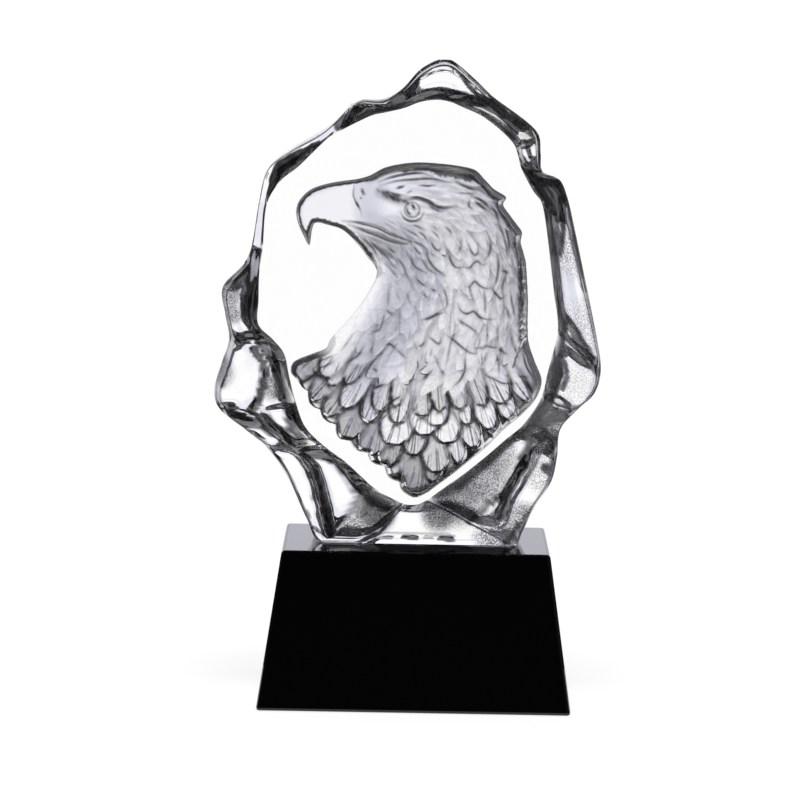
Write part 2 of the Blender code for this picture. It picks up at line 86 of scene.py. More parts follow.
class Wire:
    """An output of a node tree that takes part in arithmetic and adds the Math nodes it needs."""

    def __init__(self, bench: "Bench", socket: bpy.types.NodeSocket) -> None:
        """Wrap a socket of the bench's tree."""
        self.bench = bench
        self.socket = socket

    def maths(self, operation: str, *values: Number) -> "Wire":
        """Add one Math node.

        Args:
            operation: Name of the Math node's operation.
            values: The node's inputs in their order, as numbers or wires.

        Returns:
            The node's result.
        """
        node = self.bench.node("ShaderNodeMath", {"operation": operation}, dict(enumerate(values)))
        return Wire(self.bench, node.outputs[0])

    __add__, __radd__ = arithmetic("ADD"), arithmetic("ADD", reflected=True)
    __sub__, __rsub__ = arithmetic("SUBTRACT"), arithmetic("SUBTRACT", reflected=True)
    __mul__, __rmul__ = arithmetic("MULTIPLY"), arithmetic("MULTIPLY", reflected=True)
    __pow__, __rpow__ = arithmetic("POWER"), arithmetic("POWER", reflected=True)

    def ramp(self, low: float, high: float, start: float = 0.0, end: float = 1.0) -> "Wire":
        """A soft ramp over this value.

        Args:
            low: Where the ramp starts.
            high: Where the ramp ends.
            start: The ramp's value at its start.
            end: The ramp's value at its end.

        Returns:
            The ramp's value.
        """
        node = self.bench.node(
            "ShaderNodeMapRange", {"interpolation_type": "SMOOTHSTEP"},
            {"Value": self, "From Min": low, "From Max": high, "To Min": start, "To Max": end})
        return Wire(self.bench, node.outputs["Result"])


class Bench:
    """The node tree of one finish or of the world, and the one way to put nodes in it."""

    def __init__(self, tree: bpy.types.NodeTree) -> None:
        """Take a tree and empty it."""
        self.tree = tree
        tree.nodes.clear()

    def node(self, kind: str, settings: Settings = None, inputs: Inputs = None) -> bpy.types.Node:
        """Add a node, set it up and fill its sockets.

        Args:
            kind: The node's type.
            settings: The node's own properties, which are set first.
            inputs: A value, a wire or an output socket for each named or numbered input.

        Returns:
            The new node.
        """
        node = self.tree.nodes.new(kind)
        for name, value in (settings or {}).items():
            setattr(node, name, value)
        for name, value in (inputs or {}).items():
            if isinstance(value, Wire):
                value = value.socket
            if isinstance(value, bpy.types.NodeSocket):
                self.tree.links.new(value, node.inputs[name])
            else:
                node.inputs[name].default_value = value
        return node

    def wire(self, kind: str, output: Union[str, int], settings: Settings = None,
             inputs: Inputs = None) -> Wire:
        """Add a node and take one of its outputs.

        Args:
            kind: The node's type.
            output: Name or number of the output.
            settings: The node's own properties.
            inputs: Values or links of its sockets.

        Returns:
            The output as a wire.
        """
        return Wire(self, self.node(kind, settings, inputs).outputs[output])

    def attribute(self, name: str) -> Wire:
        """A number that the mesh carries."""
        return self.wire("ShaderNodeAttribute", "Fac", {"attribute_name": name})

    def noise(self, place: bpy.types.NodeSocket, scale: float, detail: float,
              roughness: float = 0.5) -> Wire:
        """Noise over a place."""
        return self.wire("ShaderNodeTexNoise", "Fac", None, {
            "Vector": place, "Scale": scale, "Detail": detail, "Roughness": roughness})

    def mixed(self, share: Wire, start: Any, end: Any) -> bpy.types.NodeSocket:
        """A colour between two others."""
        return self.node("ShaderNodeMix", {"data_type": "RGBA"},
                         {"Factor": share, 6: start, 7: end}).outputs[2]


@dataclass(frozen=True)
class Finish:
    """A finish of one shader, whose sockets each kind of finish fills in its own way."""

    name: str

    def sockets(self, bench: Bench) -> dict[str, Any]:
        """The values and links of the shader's sockets."""
        raise NotImplementedError

    def material(self) -> bpy.types.Material:
        """Build the finish.

        Returns:
            The new material.
        """
        made = bpy.data.materials.new(self.name)
        made.use_nodes = True
        bench = Bench(made.node_tree)
        shader = bench.node("ShaderNodeBsdfPrincipled", None, self.sockets(bench))
        bench.node("ShaderNodeOutputMaterial", None, {"Surface": shader.outputs["BSDF"]})
        return made


@dataclass(frozen=True)
class Glass(Finish):
    """A clear or etched glass: plain see-through values, with an uneven skin where it has one.

    Where the mesh's skin attribute is 1 the surface is hammered and carries painted dark specks, where its
    etching attribute is 1 the surface is as rough as the etching makes it, and where its shade attribute is
    1
    its base colour is painted black: painted shade that stands in for the dark that steep cuts and flanks
    refract.
    """

    name: str = "clear crystal"
    etched_colour: Colour = (0.94, 0.94, 1.0, 1.0)
    painted_shade_colour: Colour = (0.0006, 0.0006, 0.0008, 1.0)
    refraction: float = 1.5
    etched: float = 0.32
    grain_size: float = 0.7 * MILLIMETRE
    grain_roughness: float = 0.6
    grain_height: float = 0.4 * MILLIMETRE
    speck_size: float = 0.5 * MILLIMETRE
    speck_range: tuple[float, float] = (0.38, 0.66)
    speck_dark: float = 0.5
    tint_power: float = 4.4

    def sockets(self, bench: Bench) -> dict[str, Any]:
        """The values and links of the shader's sockets.

        Args:
            bench: The finish's nodes.

        Returns:
            A value or a link by the socket's name.
        """
        skin, etching = bench.attribute("skin"), bench.attribute("etching")
        place = bench.node("ShaderNodeTexCoord").outputs["Object"]
        grain = bench.noise(place, 1 / self.grain_size, 2.0, self.grain_roughness)
        bump = bench.node("ShaderNodeBump", None,
                          {"Strength": 1.0, "Distance": self.grain_height, "Height": grain * skin})
        # painted shade: dark specks in the base colour of the hammered skin stand in for the dark flecks its
        # facets refract
        specks = bench.noise(place, 1 / self.speck_size, 1.0).ramp(*self.speck_range)
        lit = (1 - bench.attribute("shade")) * (1 - skin * specks * self.speck_dark)
        tint = bench.mixed(etching, WHITE, self.etched_colour)
        # painted shade: the shade attribute and the hammered specks darken the base colour towards black
        return {"Base Color": bench.mixed(1 - lit ** self.tint_power, tint, self.painted_shade_colour),
                "Roughness": etching * self.etched, "IOR": self.refraction,
                "Transmission Weight": 1.0, "Normal": bump.outputs["Normal"]}


@dataclass(frozen=True)
class BlackGlass(Finish):
    """Polished black glass with the faint unevenness of a hand polish."""

    name: str = "polished black glass"
    colour: Colour = (0.0025, 0.0025, 0.003, 1.0)
    refraction: float = 1.5
    polished: float = 0.02
    wiped: float = 0.05
    wipe_size: float = 30 * MILLIMETRE
    wipe_range: tuple[float, float] = (0.35, 0.75)

    def sockets(self, bench: Bench) -> dict[str, Any]:
        """The values and links of the shader's sockets.

        Args:
            bench: The finish's nodes.

        Returns:
            A value or a link by the socket's name.
        """
        place = bench.node("ShaderNodeTexCoord").outputs["Object"]
        wipes = bench.noise(place, 1 / self.wipe_size, 3.0)
        return {"Base Color": self.colour, "IOR": self.refraction,
                "Roughness": wipes.ramp(*self.wipe_range, self.polished, self.wiped)}


@dataclass(frozen=True)
class PaleFloor(Finish):
    """A plain pale floor that is lit through, like the sweep of a light table."""

    name: str = "pale floor"
    colour: Colour = (0.9, 0.9, 0.9, 1.0)
    roughness: float = 0.7
    glow: float = 0.85

    def sockets(self, bench: Bench) -> dict[str, Any]:
        """The values of the shader's sockets."""
        return {"Base Color": self.colour, "Roughness": self.roughness,
                "Emission Color": WHITE, "Emission Strength": self.glow}


def stood(name: str, data: bpy.types.ID) -> bpy.types.Object:
    """A new object that shows in the scene.

    Args:
        name: The object's name.
        data: Its mesh, lamp or camera.

    Returns:
        The object.
    """
    made = bpy.data.objects.new(name, data)
    bpy.context.scene.collection.objects.link(made)
    return made


def read(items: bpy.types.bpy_prop_collection, name: str, kind: type = int, width: int = 1) -> np.ndarray:
    """Read a property of all of a mesh's vertices, edges, faces or corners.

    Args:
        items: The collection.
        name: The property's name.
        kind: The type of its values.
        width: How many values an item has.

    Returns:
        One row for each item, or a flat array where an item has one value.
    """
    values = np.zeros(len(items) * width, dtype=kind)
    items.foreach_get(name, values)
    return values.reshape(-1, width) if width > 1 else values


def smooth_step(value: np.ndarray, start: float = 0.0, width: float = 1.0) -> np.ndarray:
    """A soft ramp from 0 at the start to 1 a width later, which may run backwards."""
    share = np.clip((value - start) / width, 0, 1)
    return share * share * (3 - 2 * share)


def bell(distance: np.ndarray, width: float) -> np.ndarray:
    """A round bump that is 1 at no distance and dies away over its width."""
    return np.exp(-(distance / width) ** 2)


def bent(start: np.ndarray, end: np.ndarray, leaving: np.ndarray, arriving: np.ndarray,
         t: float) -> np.ndarray:
    """The point at share t of a curve from start to end, for its slopes at both."""
    return ((2 * t**3 - 3 * t**2 + 1) * start + (t**3 - 2 * t**2 + t) * leaving
            + (3 * t**2 - 2 * t**3) * end + (t**3 - t**2) * arriving)


def along(points: Sequence[Point], count: int, closed: bool = False) -> np.ndarray:
    """Points of a smooth curve through the given ones.

    Args:
        points: The points that the curve passes.
        count: How many steps the curve takes between two of them.
        closed: Whether the last point joins the first.

    Returns:
        The curve's points, one a row.
    """
    points = np.array(points, dtype=float)
    if closed:
        padded = np.vstack((points[-1:], points, points[:2]))
    else:
        first, last = 2 * points[0] - points[1], 2 * points[-1] - points[-2]
        padded = np.vstack((first[None], points, last[None]))
    curve = []
    for a, b, c, d in zip(padded, padded[1:], padded[2:], padded[3:]):
        slopes = (c - a) / 2, (d - b) / 2
        for slope in slopes:
            slope *= min(1.0, np.linalg.norm(c - b) / max(np.linalg.norm(slope), TINY))
        curve += [bent(b, c, *slopes, t) for t in np.arange(count) / count]
    if not closed:
        curve.append(points[-1])
    return np.array(curve)


def distance_to_line(places: np.ndarray, line: Iterable[Point], closed: bool = False) -> np.ndarray:
    """Distance of each place from a chain of points, or from a single point.

    Args:
        places: The places, one a row.
        line: The points of the chain.
        closed: Whether the chain's last point joins its first.

    Returns:
        One distance for each place.
    """
    line = np.array(line, dtype=float)
    if len(line) == 1:
        return np.linalg.norm(places - line[0], axis=1)
    nearest = np.full(len(places), np.inf)
    ends = np.roll(line, -1, axis=0) if closed else line[1:]
    for start, end in zip(line, ends):
        run = end - start
        share = np.clip((places - start) @ run / max(run @ run, TINY), 0, 1)
        nearest = np.minimum(nearest, np.linalg.norm(places - start - share[:, None] * run, axis=1))
    return nearest


def is_inside(places: np.ndarray, loop: np.ndarray) -> np.ndarray:
    """Whether each place lies inside a closed loop of points.

    Args:
        places: The places, one a row.
        loop: The loop's points.

    Returns:
        True or False for each place.
    """
    inside = np.zeros(len(places), dtype=bool)
    for (x1, z1), (x2, z2) in zip(loop, np.roll(loop, -1, axis=0)):
        if z1 == z2:
            continue
        crosses = (places[:, 1] < z1) != (places[:, 1] < z2)
        inside ^= crosses & (places[:, 0] < x1 + (places[:, 1] - z1) * (x2 - x1) / (z2 - z1))
    return inside


def from_cells(cells: np.ndarray, low: np.ndarray, share: np.ndarray) -> np.ndarray:
    """Mix the four cells round each place. The cells repeat past their edges.

    Args:
        cells: A value for each cell.
        low: Row and column of the first of each place's four cells.
        share: How far each place is from that cell to the last of the four.

    Returns:
        One value for each place.
    """
    u, v = share.T
    i, j = (low % cells.shape).T
    k, m = (i + 1) % cells.shape[0], (j + 1) % cells.shape[1]
    return ((1 - u) * (1 - v) * cells[i, j] + u * (1 - v) * cells[k, j]
            + (1 - u) * v * cells[i, m] + u * v * cells[k, m])


def ripples(places: np.ndarray, size: float, seed: int, cells: int = 256) -> np.ndarray:
    """Smooth random heights between -1 and 1 over a plane.

    Args:
        places: The places, one a row.
        size: Distance between neighbouring bumps.
        seed: Seed of the random heights.
        cells: How many bumps there are each way before they repeat.

    Returns:
        One height for each place.
    """
    heights = np.random.default_rng(seed).uniform(-1, 1, (cells, cells))
    low = np.floor(places / size).astype(int)
    return from_cells(heights, low, smooth_step(places / size - low))


@dataclass(frozen=True)
class Section:
    """How the rim falls away from the window's edge to the outline.

    Each knot is a share of that way and a share of the block's depth. At a rib the block falls off
    fast on both sides of the section.
    """

    knots: tuple[Point, ...]
    is_rib: bool = False

    @classmethod
    def steep(cls, left: float) -> "Section":
        """A dark wall that drops all the way, and leaves a share of the depth at the outline."""
        wall = (0.12, 0.10), (0.34, 0.40), (0.56, 0.64), (0.78, 0.84), (0.92, 0.95), (1, 1)
        return cls(tuple((way, fall * (1 - left)) for way, fall in wall))

    @classmethod
    def shelf(cls, left: float, start: float = 0.22, stop: float = 0.85,
              high: float = 0.32, low: float = 0.36) -> "Section":
        """A short wall, then a clear and nearly level facet, then the outer edge.

        Args:
            left: Share of the block's depth that is left at the outline.
            start: Where the facet starts.
            stop: Where the facet stops.
            high: How far the block has fallen where the facet starts.
            low: How far it has fallen where the facet stops.

        Returns:
            The section.
        """
        step, drop = (stop - start) / 3, (low - high) / 3
        return cls(((start * 0.4, high * 0.4), (start, high), (start + step, high + drop),
                    (start + 2 * step, high + 2 * drop), (stop, low), (1, 1 - left)))

    @classmethod
    def rib(cls, left: float, high: float = 0.12) -> "Section":
        """A thick rib that runs out from the window to the outline."""
        end = 1 - left
        return cls(((0.12, 0.3 * high), (0.32, 0.8 * high), (0.54, high),
                    (0.74, high + 0.2 * (end - high)), (0.90, high + 0.55 * (end - high)), (1, end)),
                   is_rib=True)

    @classmethod
    def crest(cls, left: float, place: float, high: float = 0.12, low: float = 0.30) -> "Section":
        """Two clear facets with a ridge between them, which runs along the rim.

        Args:
            left: Share of the block's depth that is left at the outline.
            place: Where the ridge stands.
            high: How far the block has fallen at the ridge.
            low: How far it has fallen at the inner facet.

        Returns:
            The section.
        """
        beyond = 1 - place
        return cls(((0.28 * place, 0.85 * low), (0.76 * place, low), (place, high),
                    (place + 0.26 * beyond, low + 0.03), (place + 0.86 * beyond, low + 0.06),
                    (1, 1 - left)))


STEEP, SHELF, RIB, CREST = Section.steep, Section.shelf, Section.rib, Section.crest

# Corners of the chiselled rim, clockwise from the peak: a corner of the outline, the place on the
# polished window's edge that belongs to it, and how the block falls away between the two. The
# sections' values are those of STEEP(left), SHELF(left, start, stop, high, low), RIB(left, high) and
# CREST(left, place, high, low).
RIM: tuple[tuple[Point, Point, Section], ...] = (
    ((5.2, 99.9), (4.8, 92.5), SHELF(0.14, 0.30, 0.95, 0.34)),
    ((8.2, 99.7), (7.6, 92.1), SHELF(0.14, 0.30, 0.94, 0.34)),
    ((13.0, 95.9), (10.1, 91.1), SHELF(0.20, 0.42, 0.94, 0.30)), ((16.6, 92.6), (14.0, 89.4), STEEP(0.34)),
    ((23.5, 87.7), (18.1, 86.4), STEEP(0.32)), ((26.3, 84.8), (20.8, 83.6), RIB(0.34, 0.16)),
    ((26.8, 80.9), (21.7, 81.1), SHELF(0.34)), ((27.3, 77.2), (22.4, 78.7), STEEP(0.38)),
    ((30.9, 75.5), (24.9, 74.2), STEEP(0.34)), ((32.6, 71.8), (26.6, 72.0), STEEP(0.36)),
    ((33.8, 67.2), (27.6, 67.6), SHELF(0.36, 0.26, 0.80, 0.26, 0.34)),
    ((37.7, 50.3), (29.7, 52.8), SHELF(0.38, 0.24, 0.92, 0.24, 0.34)),
    ((39.4, 42.5), (30.4, 48.6), SHELF(0.40, 0.26, 0.94, 0.24, 0.34)),
    ((40.4, 35.9), (30.5, 44.8), RIB(0.40, 0.14)),
    ((39.1, 30.8), (28.6, 36.6), SHELF(0.40, 0.30, 0.92, 0.26, 0.34)),
    ((35.3, 27.1), (27.4, 31.4), RIB(0.44, 0.14)), ((32.1, 23.2), (23.9, 26.0), STEEP(0.46)),
    ((31.6, 17.5), (20.1, 22.6), CREST(0.46, 0.62, 0.10, 0.20)),
    ((30.4, 12.2), (16.1, 19.0), CREST(0.50, 0.60, 0.10, 0.20)),
    ((27.0, 7.0), (11.9, 15.5), CREST(0.56, 0.66, 0.10, 0.20)),
    ((24.6, 2.5), (8.1, 12.7), CREST(0.70, 0.74, 0.08, 0.16)), ((23.0, 0.0), (4.5, 10.0), RIB(0.84, 0.05)),
    ((13.7, 0.0), (2.6, 9.0), SHELF(0.84, 0.22, 0.85, 0.08, 0.12)),
    ((2.7, 0.0), (1.0, 8.8), SHELF(0.84, 0.22, 0.85, 0.08, 0.12)),
    ((-8.0, 0.0), (-0.5, 9.0), RIB(0.84, 0.04)), ((-17.9, 0.0), (-2.3, 9.8), CREST(0.84, 0.86, 0.10, 0.16)),
    ((-20.6, 4.0), (-6.4, 12.0), CREST(0.70, 0.77, 0.10, 0.20)),
    ((-25.4, 13.3), (-12.6, 17.5), CREST(0.56, 0.54, 0.10, 0.22)),
    ((-29.8, 19.0), (-17.1, 20.8), RIB(0.50, 0.10)),
    ((-34.9, 22.9), (-21.1, 24.8), CREST(0.46, 0.52, 0.12, 0.22)),
    ((-39.7, 26.6), (-23.2, 30.2), RIB(0.40, 0.16)),
    ((-40.6, 30.6), (-24.5, 35.1), SHELF(0.40, 0.24, 0.92, 0.15, 0.24)),
    ((-39.0, 36.5), (-25.6, 39.8), SHELF(0.40, 0.24, 0.88, 0.16, 0.26)),
    ((-37.7, 41.2), (-27.9, 42.7), RIB(0.36, 0.18)),
    ((-38.5, 46.0), (-31.0, 45.9), SHELF(0.36, 0.45, 0.90, 0.30)),
    ((-39.1, 51.9), (-31.0, 50.9), SHELF(0.36, 0.50, 0.90, 0.30)),
    ((-34.6, 57.2), (-30.9, 56.6), STEEP(0.38)),
    ((-32.6, 62.4), (-30.3, 61.0), SHELF(0.95, 0.30, 0.90, 0.02, 0.04)),
    ((-31.3, 71.0), (-29.6, 70.4), SHELF(0.95, 0.30, 0.90, 0.02, 0.04)),
    ((-29.7, 77.4), (-26.9, 75.3), SHELF(0.84, 0.60, 0.95, 0.12, 0.13)),
    ((-25.2, 81.2), (-23.2, 78.4), SHELF(0.84, 0.60, 0.95, 0.12, 0.13)),
    ((-17.8, 85.7), (-17.3, 84.3), SHELF(0.95, 0.30, 0.90, 0.02, 0.04)),
    ((-13.1, 90.4), (-15.4, 85.5), SHELF(0.95, 0.30, 0.90, 0.02, 0.04)),
    ((-12.2, 90.8), (-14.5, 86.0), STEEP(0.64)),
    ((-10.5, 91.6), (-8.6, 89.0), SHELF(0.48, 0.55, 0.90, 0.34)),
    ((-5.9, 91.8), (-5.4, 89.8), RIB(0.40, 0.22)), ((-2.2, 94.0), (-1.8, 90.7), STEEP(0.40)),
    ((1.4, 97.8), (1.5, 92.0), SHELF(0.16, 0.30, 0.94, 0.34)),
)
FOOT_CORNERS = range(21, 26)


@dataclass(frozen=True)
class Mark:
    """A line or spot that stands out, or is cut in where its height is below 0, and may carry painted shade.

    Its line is drawn in the drawing's units and its height is in millimetres. Its width is in
    millimetres on the rim, from a ridge's crest to the foot of its flank, and in the drawing's units
    in the carving.
    """

    line: tuple[Point, ...]
    width: float
    height: float
    dark: float = 0.0


# The rim's ridges: round the peak, down the right side, along the foot, and up the left side.
# Their darkness is painted shade for the dark that steep chiselled flanks refract; rows of no height are
# only painted.
RIDGES = tuple(Mark(*row) for row in (
    (((-1.1, 94.4), (1.7, 97.6), (4.2, 99.4), (7.0, 99.9)), 1.4, 0.0, 0.75),
    (((6.2, 99.8), (8.6, 98.6), (11.4, 95.2), (14.2, 91.8)), 0.9, 0.7, 0.75),
    (((-1.7, 92.4), (2.0, 93.3), (6.7, 93.5), (10.9, 92.7), (15.7, 91.4), (18.5, 89.3)), 1.8, 0.5, 0.67),
    (((17.6, 92.7), (19.6, 90.4), (22.4, 88.2), (25.8, 85.6)), 3.6, 1.3, 0.64),
    (((24.6, 85.6), (26.6, 84.2), (27.2, 82.5), (26.9, 80.5), (26.3, 77.4)), 1.5, 1.2, 0.75),
    (((23.0, 84.2), (23.8, 82.5), (24.4, 80.8)), 1.0, 0.7, 0.75),
    (((23.2, 78.9), (24.4, 77.4), (25.5, 76.0)), 1.9, 1.0, 0.75),
    (((26.0, 76.6), (29.1, 75.5), (31.9, 73.8), (33.0, 71.5)), 2.8, 1.3, 0.75),
    (((25.2, 75.7), (28.0, 71.8), (29.4, 68.4), (30.0, 61.1)), 1.7, 1.2, 0.58),
    (((30.0, 61.1), (31.1, 51.3), (31.9, 45.0)), 1.5, 1.3, 0.58),
    (((30.8, 71.8), (31.4, 66.1), (31.1, 61.1)), 0.9, 0.8, 0.75),
    (((32.9, 71.5), (33.9, 67.0), (35.0, 61.1), (36.6, 53.0)), 1.5, 1.1, 0.58),
    (((31.9, 47.5), (34.4, 44.6), (36.8, 40.2), (40.2, 36.2)), 2.2, 1.3, 0.58),
    (((31.3, 43.9), (30.7, 39.3), (30.7, 34.7), (28.3, 29.1), (25.8, 26.1)), 2.4, 1.4, 0.68),
    (((32.4, 38.4), (32.9, 35.3), (32.2, 32.8)), 1.0, 0.8, 0.68),
    (((24.6, 24.2), (27.7, 25.4), (31.9, 26.7), (35.9, 28.2)), 2.6, 0.7, 0.49),
    (((23.4, 23.6), (25.8, 22.7), (28.9, 22.4), (31.0, 21.1)), 2.2, 1.2, 0.64),
    (((25.5, 22.4), (24.3, 17.7), (22.8, 14.3), (20.9, 10.0), (19.7, 6.0)), 1.9, 1.4, 0.67),
    (((30.7, 17.7), (30.4, 15.3), (28.9, 16.2)), 1.8, 0.7, 0.72),
    (((30.6, 16.9), (29.5, 12.3), (27.2, 8.5), (23.0, 2.6)), 1.3, 0.9, 0.38),
    (((24.6, 24.2), (19.7, 20.5), (15.4, 16.8), (10.6, 12.8)), 1.5, 0.7, 0.25),
    (((13.0, 5.1), (16.7, 8.2), (20.0, 10.3)), 1.1, 0.8, 0.54),
    (((26.4, 6.9), (23.4, 3.8), (20.9, 0.8)), 1.3, 0.8, 0.54),
    (((-15.1, 2.6), (-11.7, 6.0), (-9.6, 9.8)), 1.4, 1.0, 0.32),
    (((-6.8, 1.2), (-2.8, 1.4)), 0.7, 0.2, 0.40), (((-0.5, 1.5), (2.5, 1.4)), 0.9, 0.3, 0.72),
    (((3.7, 1.6), (5.6, 1.4)), 0.6, 0.2, 0.35), (((7.2, 1.4), (9.8, 1.2)), 1.0, 0.3, 0.60),
    (((-15.5, 2.2), (-4.0, 2.3), (10.5, 2.2)), 0.5, 0.2, 0.30),
    (((-21.6, 18.9), (-15.8, 17.8), (-11.6, 14.8), (-8.6, 11.2), (-4.0, 8.2)), 3.0, 1.6, 0.63),
    (((-21.6, 18.9), (-19.4, 14.0), (-17.4, 7.8), (-16.1, 2.0)), 2.6, 1.7, 0.67),
    (((-33.0, 22.9), (-26.9, 16.7), (-22.9, 9.6), (-19.4, 1.6)), 1.5, 0.8, 0.54),
    (((-39.4, 27.3), (-34.8, 25.1), (-30.0, 24.2), (-24.7, 21.1), (-21.6, 18.9)), 2.8, 1.7, 0.64),
    (((-37.0, 41.1), (-38.7, 36.2), (-39.8, 30.4), (-39.4, 27.3)), 2.2, 0.8, 0.38),
    (((-31.9, 40.2), (-29.7, 36.2), (-30.4, 31.3), (-32.2, 26.9)), 1.7, 1.2, 0.70),
    (((-26.9, 36.6), (-24.9, 30.4), (-23.8, 25.1), (-21.6, 19.8)), 2.5, 1.4, 0.67),
    (((-32.6, 45.1), (-29.5, 40.2), (-26.9, 36.6)), 2.3, 1.3, 0.67),
    (((-37.4, 43.3), (-34.8, 42.0), (-32.6, 42.9)), 1.8, 1.2, 0.68),
    (((-30.9, 59.7), (-31.9, 56.2), (-32.4, 51.7), (-33.0, 46.0)), 3.2, 1.8, 0.72),
    (((-38.7, 53.1), (-34.8, 55.9), (-30.8, 60.2)), 1.6, 1.0, 0.68),
    (((-28.9, 72.7), (-28.4, 74.6)), 1.3, 0.0, 0.93),
    (((-28.2, 75.4), (-27.0, 78.2), (-24.5, 79.6)), 2.6, 0.4, 0.93),
    (((-24.5, 79.8), (-22.6, 81.0)), 2.1, 0.3, 0.93), (((-22.6, 81.1), (-20.4, 82.4)), 1.5, 0.0, 0.90),
    (((-20.6, 82.3), (-19.1, 83.2)), 0.8, 0.0, 0.88),
    (((-14.5, 86.8), (-12.6, 88.4), (-10.7, 90.1), (-8.9, 90.6)), 3.0, 0.7, 0.68),
    (((-9.9, 90.5),), 2.0, -1.6), (((-7.3, 90.9), (-4.6, 91.1), (-2.2, 92.5), (0.2, 94.4)), 2.6, 0.8, 0.68),
))


